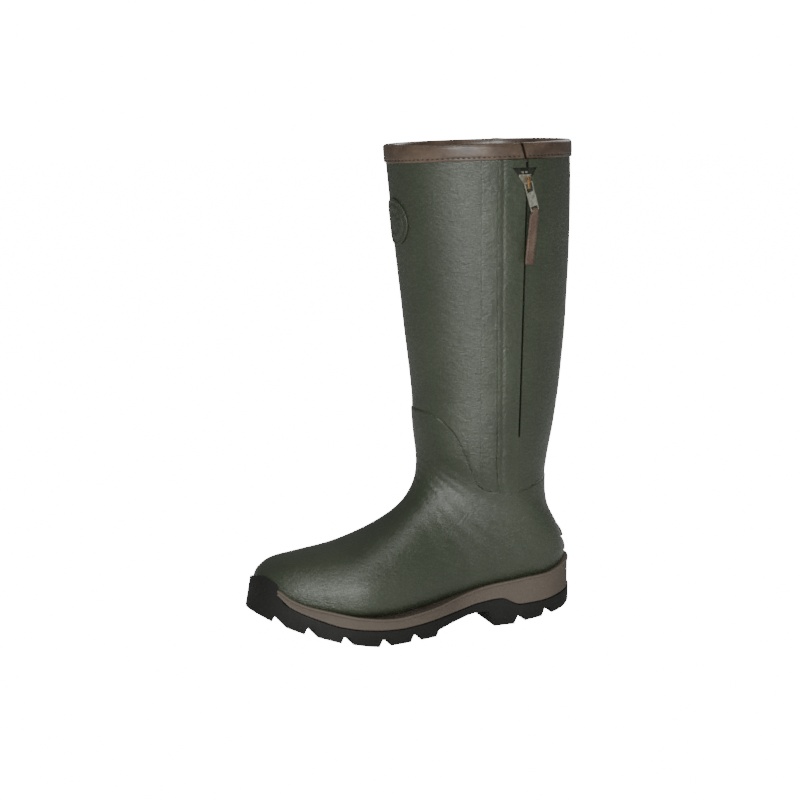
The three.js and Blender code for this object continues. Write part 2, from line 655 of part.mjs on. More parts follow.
// One row of moulded teeth on its cord.
function makeTeeth(side) {
  const cord = 0.9;
  const tooth = toothPitch * 0.55;
  const points = [[rowStart, toothOuter]];
  const count = Math.floor((rowEnd - rowStart) / toothPitch);
  for (let i = 0; i < count; i += 1) {
    const u = rowStart + i * toothPitch + (side > 0 ? 0 : toothPitch * 0.45);
    points.push([u, toothOuter - cord], [u, toothInner]);
    points.push([u + tooth, toothInner], [u + tooth, toothOuter - cord]);
  }
  points.push([rowEnd, toothOuter - cord], [rowEnd, toothOuter]);
  const unique = points.filter(([u, v], i) => i === 0 || u !== points[i - 1][0] || v !== points[i - 1][1]);
  const shape = new THREE.Shape(unique.map(([u, v]) => new THREE.Vector2(u, side * v)));
  return new THREE.ExtrudeGeometry(shape, { depth: toothDepth, bevelEnabled: false })
    .translate(0, 0, toothBottom);
}

function makeStop(u, side) {
  const inner = side === 0 ? -toothOuter : toothInner;
  const low = side < 0 ? -toothOuter : inner;
  const high = side < 0 ? -toothInner : toothOuter;
  return box([u, low, toothBottom], [u + stopLength, high, toothTop]);
}

function makeSliderBody() {
  const plateTop = toothTop + 0.25;
  const plateBottom = toothBottom - 0.25;
  const end = sliderTop + sliderLength;
  const w = sliderHalfWidth;
  const flange = 0.8;
  const tapeClear = tapeThickness / 2 + 0.35;
  const bridgeHalf = toothInner - gap;
  let body = solid(box([sliderTop, -w, plateTop], [end, w, plateTop + sliderPlate]))
    .add(solid(box([sliderTop, -w, plateBottom - sliderPlate], [end, w, plateBottom])))
    .add(solid(box([sliderTop + 2, -bridgeHalf, plateBottom - 0.4],
      [sliderTop + 8, bridgeHalf, plateTop + 0.4])));
  for (const side of [-1, 1]) {
    const v = [side * w, side * (w - flange)].sort((a, b) => a - b);
    body = body
      .add(solid(box([sliderTop, v[0], toothMiddle + tapeClear], [end, v[1], plateTop + 0.4])))
      .add(solid(box([sliderTop, v[0], plateBottom - 0.4], [end, v[1], toothMiddle - tapeClear])));
  }
  return fromSolid(body);
}

const bailFoot = toothTop + 0.25 + sliderPlate + gap;
const coverFace = 3 * gap + placketBaseWall + placketCoverWall;
const crossbarHeight = coverFace + 1.1;
const bailUnder = crossbarHeight + crossbarRadius + 0.5;
const bailStart = sliderTop + 1.5;
const crossbarU = bailStart + bailLength / 2;

function makeSliderBail() {
  const neck = slitHalfWidth - 0.35;
  const foot = 1.2;
  const end = bailStart + bailLength;
  const top = bailUnder + bailThickness;
  const arch = solid(box([bailStart, -bailHalfWidth, bailUnder], [end, bailHalfWidth, top]))
    .add(solid(box([bailStart, -neck, bailFoot], [bailStart + foot, neck, bailUnder + 0.4])))
    .add(solid(box([end - foot, -neck, bailFoot], [end, neck, bailUnder + 0.4])))
    .add(solid(box([bailStart, -neck, bailFoot], [end, neck, bailFoot + 0.6])));
  return fromSolid(arch);
}

// Pleated cloth behind the zip that opens as the shaft is unzipped.
function makeGusset() {
  const edge = slotHalfWidth + liningSlotMargin - 0.5;
  const folds = [[-edge, -6.3], [-edge / 2, -5.4], [0, -6.5], [edge / 2, -5.4], [edge, -6.3]];
  const outline = [...folds, ...folds.map(([v, w]) => [v, w - 0.8]).reverse()];
  const shape = new THREE.Shape(outline.map(([v, w]) => new THREE.Vector2(v, w)));
  const length = rowEnd + 6 - bindingDepth - 1;
  const turn = new THREE.Matrix4().makeBasis(
    new THREE.Vector3(0, 1, 0), new THREE.Vector3(0, 0, 1), new THREE.Vector3(1, 0, 0));
  return new THREE.ExtrudeGeometry(shape, { depth: length, bevelEnabled: false })
    .applyMatrix4(turn).translate(bindingDepth + 1, 0, 0);
}

// ---------------------------------------------------------------- pull tab and its strap
// Local axes: x along the crossbar, y up, z away from the boot. They hang straight down.
const pullWindow = bailLength / 2 + 3.2;
const barDrop = pullLength - pullBarHalf;
const eyeRadius = Math.hypot(pullBarHalf, pullThickness / 2) + 0.2;

function makePullTab() {
  const half = pullWidth / 2;
  const corner = 1.5;
  const thick = pullThickness / 2;
  const outline = new THREE.Shape();
  outline.moveTo(half, crossbarRadius - corner / 2);
  outline.lineTo(half - corner, crossbarRadius);
  outline.lineTo(-half + corner, crossbarRadius);
  outline.lineTo(-half, crossbarRadius - corner / 2);
  outline.absarc(-half + corner, -pullLength + corner, corner, Math.PI, 1.5 * Math.PI);
  outline.absarc(half - corner, -pullLength + corner, corner, -Math.PI / 2, 0);
  const settings = { depth: pullThickness, bevelEnabled: false, curveSegments: 4 };
  const plate = new THREE.ExtrudeGeometry(outline, settings).translate(0, 0, -thick);
  const inner = half - pullRail;
  const strapTop = -barDrop + 2 * eyeRadius + strapPly + gap;
  return fromSolid(solid(plate)
    .subtract(solid(box([-inner, -pullWindow, -2], [inner, -crossbarRadius, 2])))
    .subtract(solid(box([-inner, -barDrop + pullBarHalf, -2], [inner, strapTop, 2]))));
}

// Folded leather strap looped round the lower bar of the pull tab. Origin on that bar's axis.
function makeLeatherPull() {
  const half = strapPly + gap / 2;
  const outline = new THREE.Shape();
  outline.absarc(0, 0, eyeRadius + strapPly, radians(-35), radians(215));
  outline.lineTo(-half, -5);
  outline.lineTo(half, -5);
  const eye = new THREE.Path();
  eye.absarc(0, 0, eyeRadius, 0, 2 * Math.PI, true);
  outline.holes.push(eye);
  const narrow = pullWidth - 2 * pullRail - 4 * gap;
  const turn = new THREE.Matrix4().makeBasis(
    new THREE.Vector3(0, 0, 1), new THREE.Vector3(0, 1, 0), new THREE.Vector3(-1, 0, 0));
  const loop = new THREE.ExtrudeGeometry(outline, { bevelEnabled: false, curveSegments: 8, depth: narrow })
    .translate(0, 0, -narrow / 2).applyMatrix4(turn).rotateZ(radians(pullTilt));
  const flap = box([-strapWidth / 2, -strapLength, -half], [strapWidth / 2, -4.4, half])
    .rotateZ(radians(strapTilt));
  return fromSolid(solid(loop).add(solid(flap)));
}

// ---------------------------------------------------------------- finishes and assembly
const finish = (color, roughness, metalness = 0) =>
  new THREE.MeshStandardMaterial({ color, roughness, metalness });
const finishes = {
  greenRubber: finish('#465040', 0.55),
  placketRubber: finish('#4b5545', 0.5),
  taupeRubber: finish('#6b6156', 0.7),
  blackRubber: finish('#272825', 0.75),
  leather: finish('#6c5e53', 0.5),
  neoprene: finish('#57504a', 0.95),
  foam: finish('#3d3d3b', 0.95),
  board: finish('#8b8273', 0.9),
  steel: finish('#8d8f91', 0.4, 1),
  tape: finish('#2b2d28', 0.9),
  toothPlastic: finish('#2c2e2a', 0.5),
  brass: finish('#a07c4a', 0.35, 1),
  nickel: finish('#919184', 0.3, 1),
};

const boot = new THREE.Group();
const zip = new THREE.Group();
zip.applyMatrix4(zipMatrix);

function put(parent, name, geometry, material) {
  const mesh = new THREE.Mesh(geometry, finishes[material]);
  mesh.name = name;
  parent.add(mesh);
  return mesh;
}

put(boot, 'outsole', fromSolid(makeOutsole()), 'blackRubber');
put(boot, 'midsole', fromSolid(makeMidsole()), 'taupeRubber');
put(boot, 'shank', fromSolid(makeShank()), 'steel');
put(boot, 'heel_kicker', fromSolid(makeHeelKicker()), 'taupeRubber');
put(boot, 'foot_shell', fromSolid(makeFootShell()), 'greenRubber');
put(boot, 'shaft', fromSolid(makeShaft()), 'greenRubber');
put(boot, 'toe_cap', fromSolid(makeToeCap()), 'greenRubber');
put(boot, 'toe_puff', fromSolid(makeToePuff()), 'board');
put(boot, 'heel_counter', fromSolid(makeHeelCounter()), 'board');
put(boot, 'insole_board', fromSolid(makeInsoleBoard()), 'board');
put(boot, 'lining', fromSolid(makeLining()), 'neoprene');
put(boot, 'footbed', fromSolid(makeFootbed()), 'foam');
put(boot, 'collar_binding', fromSolid(makeCollarBinding()), 'leather');
put(boot, 'front_badge', fromSolid(makeBadge()), 'greenRubber');
put(boot, 'placket_base', fromSolid(makePlacketBase()), 'placketRubber');
put(boot, 'placket_cover', fromSolid(makePlacketCover()), 'placketRubber');

put(zip, 'zip_tape_front', makeTape(-1), 'tape');
put(zip, 'zip_tape_rear', makeTape(1), 'tape');
put(zip, 'zip_teeth_front', makeTeeth(-1), 'toothPlastic');
put(zip, 'zip_teeth_rear', makeTeeth(1), 'toothPlastic');
put(zip, 'zip_top_stop_front', makeStop(rowStart - gap - stopLength, -1), 'nickel');
put(zip, 'zip_top_stop_rear', makeStop(rowStart - gap - stopLength, 1), 'nickel');
put(zip, 'zip_bottom_stop', makeStop(rowEnd + gap, 0), 'nickel');
put(zip, 'zip_gusset', makeGusset(), 'tape');
put(zip, 'slider_body', makeSliderBody(), 'nickel');
put(zip, 'slider_bail', makeSliderBail(), 'brass');
boot.add(zip);

// The pull hangs straight down, or leans out as far as the leg below it stands out.
const acrossRear = new THREE.Vector3(zipRear.x, zipRear.y, 0).normalize();
const upright = new THREE.Vector3(0, 0, 1);
const outward = acrossRear.clone().cross(upright);
const crossbarPoint = fromZip(crossbarU, 0, crossbarHeight);
const standsOut = (drop, distance) => {
  const station = stationBesideZip(crossbarPoint.z - drop, distance);
  return layerPoint(station, angleOf(station, distance), coverFace).sub(crossbarPoint).dot(outward);
};
const leans = spread(pullLength, pullLength + strapLength, 6)
  .flatMap((drop) => [0, strapWidth / 2, strapWidth]
    .map((distance) => Math.atan2(standsOut(drop, distance) + eyeRadius + strapPly + gap / 2, drop)));
const up = upright.clone().applyAxisAngle(acrossRear, Math.min(0, -Math.max(...leans)));
const hanging = new THREE.Matrix4().makeBasis(acrossRear, up, acrossRear.clone().cross(up));
const pull = new THREE.Group();
pull.quaternion.setFromRotationMatrix(hanging);
pull.position.copy(crossbarPoint);
const tab = put(pull, 'pull_tab', makePullTab(), 'nickel');
tab.rotation.z = radians(pullTilt);
const strap = put(pull, 'leather_pull', makeLeatherPull(), 'leather');
strap.position.set(barDrop * Math.sin(radians(pullTilt)), -barDrop * Math.cos(radians(pullTilt)), 0);
boot.add(pull);

// The origin is at the middle of the bounding box, on the ground.
boot.updateMatrixWorld(true);
const bounds = new THREE.Box3().setFromObject(boot, true);
const middle = bounds.getCenter(new THREE.Vector3());
boot.position.set(-middle.x, -middle.y, -bounds.min.z);
boot.updateMatrixWorld(true);

const barAxis = new THREE.Vector3(-Math.cos(radians(pullTilt)), -Math.sin(radians(pullTilt)), 0);
boot.userData.joints = {
  zipDown: zipDown.toArray(),
  zipTravel: sliderTravel,
  flipPoint: pull.getWorldPosition(new THREE.Vector3()).toArray(),
  flipAxis: barAxis.clone().transformDirection(hanging).toArray(),
  swingPoint: strap.getWorldPosition(new THREE.Vector3()).toArray(),
};

export default boot;
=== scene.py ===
import json
import math

import bmesh
import bpy
from mathutils import Matrix, Vector


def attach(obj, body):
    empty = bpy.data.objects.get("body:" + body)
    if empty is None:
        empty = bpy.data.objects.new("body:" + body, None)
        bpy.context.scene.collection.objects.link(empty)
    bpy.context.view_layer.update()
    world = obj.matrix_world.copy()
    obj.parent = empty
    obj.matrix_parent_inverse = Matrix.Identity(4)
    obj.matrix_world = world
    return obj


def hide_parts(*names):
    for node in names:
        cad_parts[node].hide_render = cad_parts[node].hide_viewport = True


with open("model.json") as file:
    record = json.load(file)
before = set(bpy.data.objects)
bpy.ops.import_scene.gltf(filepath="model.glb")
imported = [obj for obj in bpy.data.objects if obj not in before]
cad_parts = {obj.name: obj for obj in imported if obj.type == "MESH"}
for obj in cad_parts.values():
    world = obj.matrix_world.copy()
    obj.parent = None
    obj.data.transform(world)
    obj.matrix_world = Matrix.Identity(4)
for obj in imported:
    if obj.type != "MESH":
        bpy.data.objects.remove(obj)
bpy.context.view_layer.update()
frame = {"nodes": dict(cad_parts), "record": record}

# The drawings below are in millimetres. The shift takes them to the frame, whose middle is the
# middle of the boot's box.
bootSize = {
    "shift": Vector((-0.974, -2.254, 2.0)),
    "rimHeight": 424.5,
    "rimDrop": 4.5,
    "ankleHeight": 205,
    "rimHalf": 67.3,
    "ankleHalf": 53.1,
    # front y, front z, back y, back z, half width, shift to the outer side, flatness underneath
    "foot": [
        (-140, 50, -140, 49, 1, -2, 1), (-138, 55, -138, 42.5, 13, -2, 1),
        (-132, 60, -132, 36, 26, -2.5, 1), (-120, 65, -120, 29, 38.5, -3.3, 1),
        (-98, 69.8, -98, 23, 48.5, -0.5, 1), (-66, 76.5, -66, 19, 55, 4.8, 1),
        (-38, 87.4, -34, 17.5, 52, 6.5, 1), (-17, 99.2, -3, 19.5, 46, 6.5, 1),
        (-3.5, 109.5, 28, 23.5, 42.5, 4, 1), (4, 120, 62, 27, 40.6, 2, 0.9),
        (7.8, 129.5, 100, 28.5, 41.2, 0.8, 0.8), (9.2, 138, 132, 33, 42.6, 0, 0.7),
        (9.3, 146, 145.6, 52, 43.5, 0, 0.5), (8.9, 154, 140.4, 76, 45, 0, 0.3),
        (8, 163, 130, 98, 47, 0, 0.1), (7, 172, 127.6, 120, 48.6, 0, 0),
        (6.2, 181, 130.2, 145, 50.2, 0, 0), (5.6, 190, 135.2, 172, 51.6, 0, 0),
    ],
    # share of the way up the leg, front y, back y
    "leg": [(0, 5, 140), (0.12, 2.1, 142.6), (0.26, -1.8, 145.1), (0.4, -5.3, 146.4), (0.54, -9, 147.5),
            (0.68, -12.5, 147.8), (0.84, -16, 147.4), (0.94, -18.2, 146.6), (1, -19.2, 146)],
    "zipTopY": 79.8,
    "zipBottomY": 82,
    "zipBottom": 172,
}
shift = bootSize["shift"]


# the shape that every layer of the boot follows
def smoothThrough(rows, share):
    place = min(max(share, 0), 1) * (len(rows) - 1)
    i = min(int(place), len(rows) - 2)
    t = place - i
    b, c = rows[i], rows[i + 1]
    a = rows[i - 1] if i else [2 * p - q for p, q in zip(b, c)]
    d = rows[i + 2] if i + 2 < len(rows) else [2 * q - p for p, q in zip(b, c)]
    return [0.5 * (2 * q + (r - p) * t + (2 * p - 5 * q + 4 * r - s) * t * t
                   + (3 * q - p - 3 * r + s) * t ** 3) for p, q, r, s in zip(a, b, c, d)]


sections = list(bootSize["foot"])
legStart = len(sections)
for up, front, back in bootSize["leg"]:
    z = bootSize["ankleHeight"] + up * (bootSize["rimHeight"] - bootSize["ankleHeight"])
    half = bootSize["ankleHalf"] + up * (bootSize["rimHalf"] - bootSize["ankleHalf"])
    sections.append((front, z - up * bootSize["rimDrop"], back, z, half, 0, 0))
lastSection = len(sections) - 1
fineness = 60
tableLength = lastSection * fineness
sectionTable = [smoothThrough(sections, i / tableLength) for i in range(tableLength + 1)]


def sectionAt(station):
    place = min(max(station, 0), lastSection) * fineness
    i = min(int(place), len(sectionTable) - 2)
    t = place - i
    return [p + (q - p) * t for p, q in zip(sectionTable[i], sectionTable[i + 1])]


def onSkin(station, angle):
    frontY, frontZ, backY, backZ, half, aside, flat = sectionAt(station)
    c, s = math.cos(angle), math.sin(angle)
    power = 2 + (1.1 if s < 0 else 0.15) * flat
    reach = (abs(c) ** power + abs(s) ** power) ** (-1 / power)
    widest = 0.5 - 0.13 * flat
    along = widest + s * reach * (widest if s < 0 else 1 - widest)
    y, z = backY + (frontY - backY) * along, backZ + (frontZ - backZ) * along
    return Vector((aside + half * c * reach, y, z))


def skinNormal(station, angle):
    low, high = max(station - 0.03, 0.015), min(station + 0.03, lastSection)
    along = onSkin(high, angle) - onSkin(low, angle)
    around = onSkin(station, angle + 0.009) - onSkin(station, angle - 0.009)
    return along.cross(around).normalized()


def layerPoint(station, angle, offset):
    point = onSkin(station, angle)
    level = point.z
    point += skinNormal(station, angle) * offset
    if station >= legStart:
        point.z = level
    return point


def zipAngle(station, distance):
    frontY, _, backY, _, _, _, _ = sectionAt(station)
    depth = (backY - frontY) / 2
    level = (onSkin(station, 0).z - bootSize["zipBottom"]) / (bootSize["rimHeight"] - bootSize["zipBottom"])
    level = min(1, max(0, level))
    line = bootSize["zipBottomY"] + level * (bootSize["zipTopY"] - bootSize["zipBottomY"])
    return math.asin(((frontY + backY) / 2 - line) / depth) - distance / depth


def stationAtHeight(height, angleAt, low=None):
    low, high = (legStart - 8 if low is None else low), lastSection
    for _ in range(22):
        middle = (low + high) / 2
        if onSkin(middle, angleAt(middle)).z < height:
            low = middle
        else:
            high = middle
    return high


def besideZip(height, distance, offset):
    station = stationAtHeight(height, lambda s: zipAngle(s, distance))
    return layerPoint(station, zipAngle(station, distance), offset)


zipStart = besideZip(bootSize["rimHeight"], 0, 0)
zipEnd = besideZip(bootSize["zipBottom"], 0, 0)
zipDown = (zipEnd - zipStart).normalized()
middleStation = stationAtHeight((bootSize["rimHeight"] + bootSize["zipBottom"]) / 2, lambda s: zipAngle(s, 0))
zipRear = skinNormal(middleStation, zipAngle(middleStation, 0)).cross(zipDown).normalized()
zipOut = zipDown.cross(zipRear).normalized()
zipRun = (zipEnd - zipStart).length


def inZip(u, v, w):
    return zipStart + zipDown * u + zipRear * v + zipOut * w


def heightOn(line, y):
    for (y0, z0), (y1, z1) in zip(line, line[1:]):
        if y <= y1:
            return z0 + (z1 - z0) * (max(y, y0) - y0) / (y1 - y0)
    return line[-1][1]


def softHeight(line, y):
    return sum(heightOn(line, y + step) for step in (-3, -1.5, 0, 1.5, 3)) / 5


def between(rows, share):
    place = min(max(share, 0), 1) * (len(rows) - 1)
    i = min(int(place), len(rows) - 2)
    return [p + (q - p) * (place - i) for p, q in zip(rows[i], rows[i + 1])]


# mesh helpers
def toFrame(point):
    return (point + shift) * 0.001


def makePiece(name, bm, finish, body="boot", replaces=(), sharp=42, merge=0.002):
    if merge:
        bmesh.ops.remove_doubles(bm, verts=bm.verts, dist=merge * 0.001)
    mesh = bpy.data.meshes.new(name)
    bm.to_mesh(mesh)
    bm.free()
    mesh.shade_smooth()
    mesh.set_sharp_from_angle(angle=math.radians(sharp))
    piece = bpy.data.objects.new(name, mesh)
    bpy.context.scene.collection.objects.link(piece)
    mesh.materials.append(finish)
    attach(piece, body)
    if replaces:
        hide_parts(*replaces)
    return piece


def layGrid(columns, rows, place, away=None):
    bm = bmesh.new()
    bmesh.ops.create_grid(bm, x_segments=columns, y_segments=rows, size=0.5)
    for vert in bm.verts:
        vert.co = toFrame(place(vert.co.x + 0.5, vert.co.y + 0.5))
    bmesh.ops.remove_doubles(bm, verts=bm.verts, dist=1e-6)
    if away is not None:
        faceAway(bm, away)
    return bm


def faceAway(bm, middle):
    bm.normal_update()
    outward = 0
    for face in bm.faces:
        point = face.calc_center_median() * 1000 - shift
        outward += face.normal.dot(point - middle(point)) * face.calc_area()
    if outward < 0:
        bmesh.ops.reverse_faces(bm, faces=bm.faces)


def legMiddle(point):
    return Vector((0, 63, point.z))


def footMiddle(point):
    return Vector((0, min(max(point.y, -100), 90), max(60, point.z if point.z > 150 else 60)))


def thicken(piece, thickness, offset=-1, edge=0.3, segments=2):
    wall = piece.modifiers.new("wall", "SOLIDIFY")
    wall.thickness = thickness * 0.001
    wall.offset = offset
    if edge:
        soften(piece, edge, segments)
    return piece


def soften(piece, width, segments=2, limit=50):
    edge = piece.modifiers.new("edge", "BEVEL")
    edge.width = width * 0.001
    edge.segments = segments
    edge.limit_method = "ANGLE"
    edge.angle_limit = math.radians(limit)
    edge.use_clamp_overlap = True
    edge.harden_normals = False
    return piece


def cutAcross(bm, point, normal):
    bmesh.ops.bisect_plane(bm, geom=bm.verts[:] + bm.edges[:] + bm.faces[:], dist=1e-7,
                           plane_co=point, plane_no=normal)


def prism(points, turn, low, high):
    bm = bmesh.new()
    ring = bmesh.ops.create_circle(bm, cap_ends=True, segments=len(points), radius=1)["verts"]
    for vert, (a, b) in zip(ring, points):
        vert.co = turn(a, b, low)
    top = bmesh.ops.extrude_face_region(bm, geom=bm.faces[:])
    step = turn(0, 0, high) - turn(0, 0, low)
    bmesh.ops.translate(bm, verts=[g for g in top["geom"] if isinstance(g, bmesh.types.BMVert)], vec=step)
    bmesh.ops.recalc_face_normals(bm, faces=bm.faces)
    return bm


def acrossBoot(y, z, x):
    return toFrame(Vector((x, y, z)))


def carve(base, cutter, operation="DIFFERENCE"):
    holder = []
    for bm in (base, cutter):
        mesh = bpy.data.meshes.new("carving")
        bm.to_mesh(mesh)
        bm.free()
        holder.append(bpy.data.objects.new("carving", mesh))
        bpy.context.scene.collection.objects.link(holder[-1])
    cut = holder[0].modifiers.new("cut", "BOOLEAN")
    cut.operation = operation
    cut.solver = "EXACT"
    cut.object = holder[1]
    result = bmesh.new()
    result.from_object(holder[0], bpy.context.evaluated_depsgraph_get())
    for item in holder:
        mesh = item.data
        bpy.data.objects.remove(item)
        bpy.data.meshes.remove(mesh)
    return result


# finishes
def addNode(material, kind, inputs=None, **settings):
    node = material.node_tree.nodes.new(kind)
    for key, value in settings.items():
        setattr(node, key, value)
    for key, value in (inputs or {}).items():
        if isinstance(value, tuple) and len(value) == 2 and hasattr(value[0], "outputs"):
            material.node_tree.links.new(value[0].outputs[value[1]], node.inputs[key])
        else:
            node.inputs[key].default_value = value
    return node


def feed(material, node, key, source, output):
    material.node_tree.links.new(source.outputs[output], node.inputs[key])


def srgb(red, green, blue):
    return tuple((c / 255 / 12.92 if c / 255 <= 0.04045 else ((c / 255 + 0.055) / 1.055) ** 2.4)
                 for c in (red, green, blue)) + (1,)


def startFinish(name):
    material = bpy.data.materials.new(name)
    material.use_nodes = True
    shader = material.node_tree.nodes["Principled BSDF"]
    place = addNode(material, "ShaderNodeTexCoord")
    return material, shader, place


def mapped(material, place, scale=(1, 1, 1), turn=(0, 0, 0)):
    return addNode(material, "ShaderNodeMapping",
                   {"Vector": (place, "Object"), "Scale": scale, "Rotation": turn})


def noise(material, place, scale, detail=3, rough=0.5):
    return addNode(material, "ShaderNodeTexNoise",
                   {"Vector": (place, "Vector"), "Scale": scale, "Detail": detail, "Roughness": rough})


def ramp(material, source, output, low, high, start=0.3, end=0.7):
    node = addNode(material, "ShaderNodeValToRGB", {"Fac": (source, output)})
    node.color_ramp.elements[0].position = start
    node.color_ramp.elements[1].position = end
    node.color_ramp.elements[0].color = low
    node.color_ramp.elements[1].color = high
    return node


def spreadOver(material, source, output, low, high):
    return addNode(material, "ShaderNodeMapRange", {"Value": (source, output), "To Min": low, "To Max": high})


def bump(material, source, output, strength, distance, under=None):
    node = addNode(material, "ShaderNodeBump", {"Height": (source, output), "Strength": strength,
                                                "Distance": distance * 0.001})
    if under:
        feed(material, node, "Normal", under, "Normal")
    return node


def rubberFinish(name, look):
    material, shader, place = startFinish(name)
    plain = mapped(material, place)
    lying = mapped(material, place, (1, 1, look["crinkleStretch"]))
    patches = noise(material, plain, 14, 2)
    colour = ramp(material, patches, "Fac", srgb(*look["dark"]), srgb(*look["light"]), 0.3, 0.7)
    feed(material, shader, "Base Color", colour, "Color")
    gloss = noise(material, lying, 60, 4)
    feed(material, shader, "Roughness",
         spreadOver(material, gloss, "Fac", look["smooth"], look["rough"]), "Result")
    waves = bump(material, noise(material, plain, 24, 3), "Fac", look["waves"], 2.5)
    wrinkles = bump(material, noise(material, lying, look["crinkle"] * 0.45, 3, 0.55), "Fac",
                    look["crinkleDepth"] * 0.4, 0.9, waves)
    crinkle = bump(material, noise(material, lying, look["crinkle"], 4, 0.62), "Fac",
                   look["crinkleDepth"], 0.75, wrinkles)
    cells = addNode(material, "ShaderNodeTexVoronoi", {"Vector": (plain, "Vector"), "Scale": look["grain"]})
    grain = bump(material, cells, "Distance", look["grainDepth"], 0.2, crinkle)
    feed(material, shader, "Normal", grain, "Normal")
    shader.inputs["Specular IOR Level"].default_value = look["shine"]
    shader.inputs["Coat Weight"].default_value = look["coat"]
    shader.inputs["Coat Roughness"].default_value = 0.45
    return material


def leatherFinish(name, look):
    material, shader, place = startFinish(name)
    plain = mapped(material, place)
    cloud = noise(material, plain, 45, 5, 0.6)
    colour = ramp(material, cloud, "Fac", srgb(*look["dark"]), srgb(*look["light"]), 0.32, 0.68)
    feed(material, shader, "Base Color", colour, "Color")
    pores = addNode(material, "ShaderNodeTexVoronoi", {"Vector": (plain, "Vector"), "Scale": look["grain"]},
                    feature="DISTANCE_TO_EDGE")
    creases = noise(material, mapped(material, place, (1, 1, 2.2)), 160, 6, 0.65)
    feed(material, shader, "Roughness",
         spreadOver(material, creases, "Fac", look["smooth"], look["rough"]), "Result")
    low = bump(material, creases, "Fac", 0.35, 0.4)
    feed(material, shader, "Normal", bump(material, pores, "Distance", look["depth"], 0.25, low), "Normal")
    shader.inputs["Specular IOR Level"].default_value = 0.5
    shader.inputs["Coat Weight"].default_value = look["coat"]
    shader.inputs["Coat Roughness"].default_value = 0.3
    return material


def clothFinish(name, look):
    material, shader, place = startFinish(name)
    plain = mapped(material, place)
    colour = ramp(material, noise(material, plain, 90, 4), "Fac", srgb(*look["dark"]), srgb(*look["light"]))
    feed(material, shader, "Base Color", colour, "Color")
    warp = addNode(material, "ShaderNodeTexWave", {"Vector": (plain, "Vector"), "Scale": look["weave"],
                                                   "Distortion": 1.5, "Detail": 1.0}, bands_direction="Z")
    weft = addNode(material, "ShaderNodeTexWave", {"Vector": (plain, "Vector"), "Scale": look["weave"],
                                                   "Distortion": 1.5, "Detail": 1.0}, bands_direction="Y")
    first = bump(material, warp, "Fac", look["depth"], 0.25)
    feed(material, shader, "Normal", bump(material, weft, "Fac", look["depth"], 0.25, first), "Normal")
    feed(material, shader, "Roughness", spreadOver(material, warp, "Fac", 0.8, 0.97), "Result")
    shader.inputs["Sheen Weight"].default_value = look["sheen"]
    shader.inputs["Sheen Roughness"].default_value = 0.5
    return material


def metalFinish(name, look):
    material, shader, place = startFinish(name)
    brushed = mapped(material, place, (1, 9, 1), (0.4, 0, 0.3))
    lines = noise(material, brushed, 500, 4, 0.7)
    tarnish = noise(material, mapped(material, place), 300, 4, 0.6)
    colour = ramp(material, tarnish, "Fac", srgb(*look["dark"]), srgb(*look["light"]), 0.35, 0.6)
    feed(material, shader, "Base Color", colour, "Color")
    feed(material, shader, "Roughness",
         spreadOver(material, lines, "Fac", look["smooth"], look["rough"]), "Result")
    feed(material, shader, "Normal", bump(material, lines, "Fac", 0.25, 0.05), "Normal")
    shader.inputs["Metallic"].default_value = look["metal"]
    return material


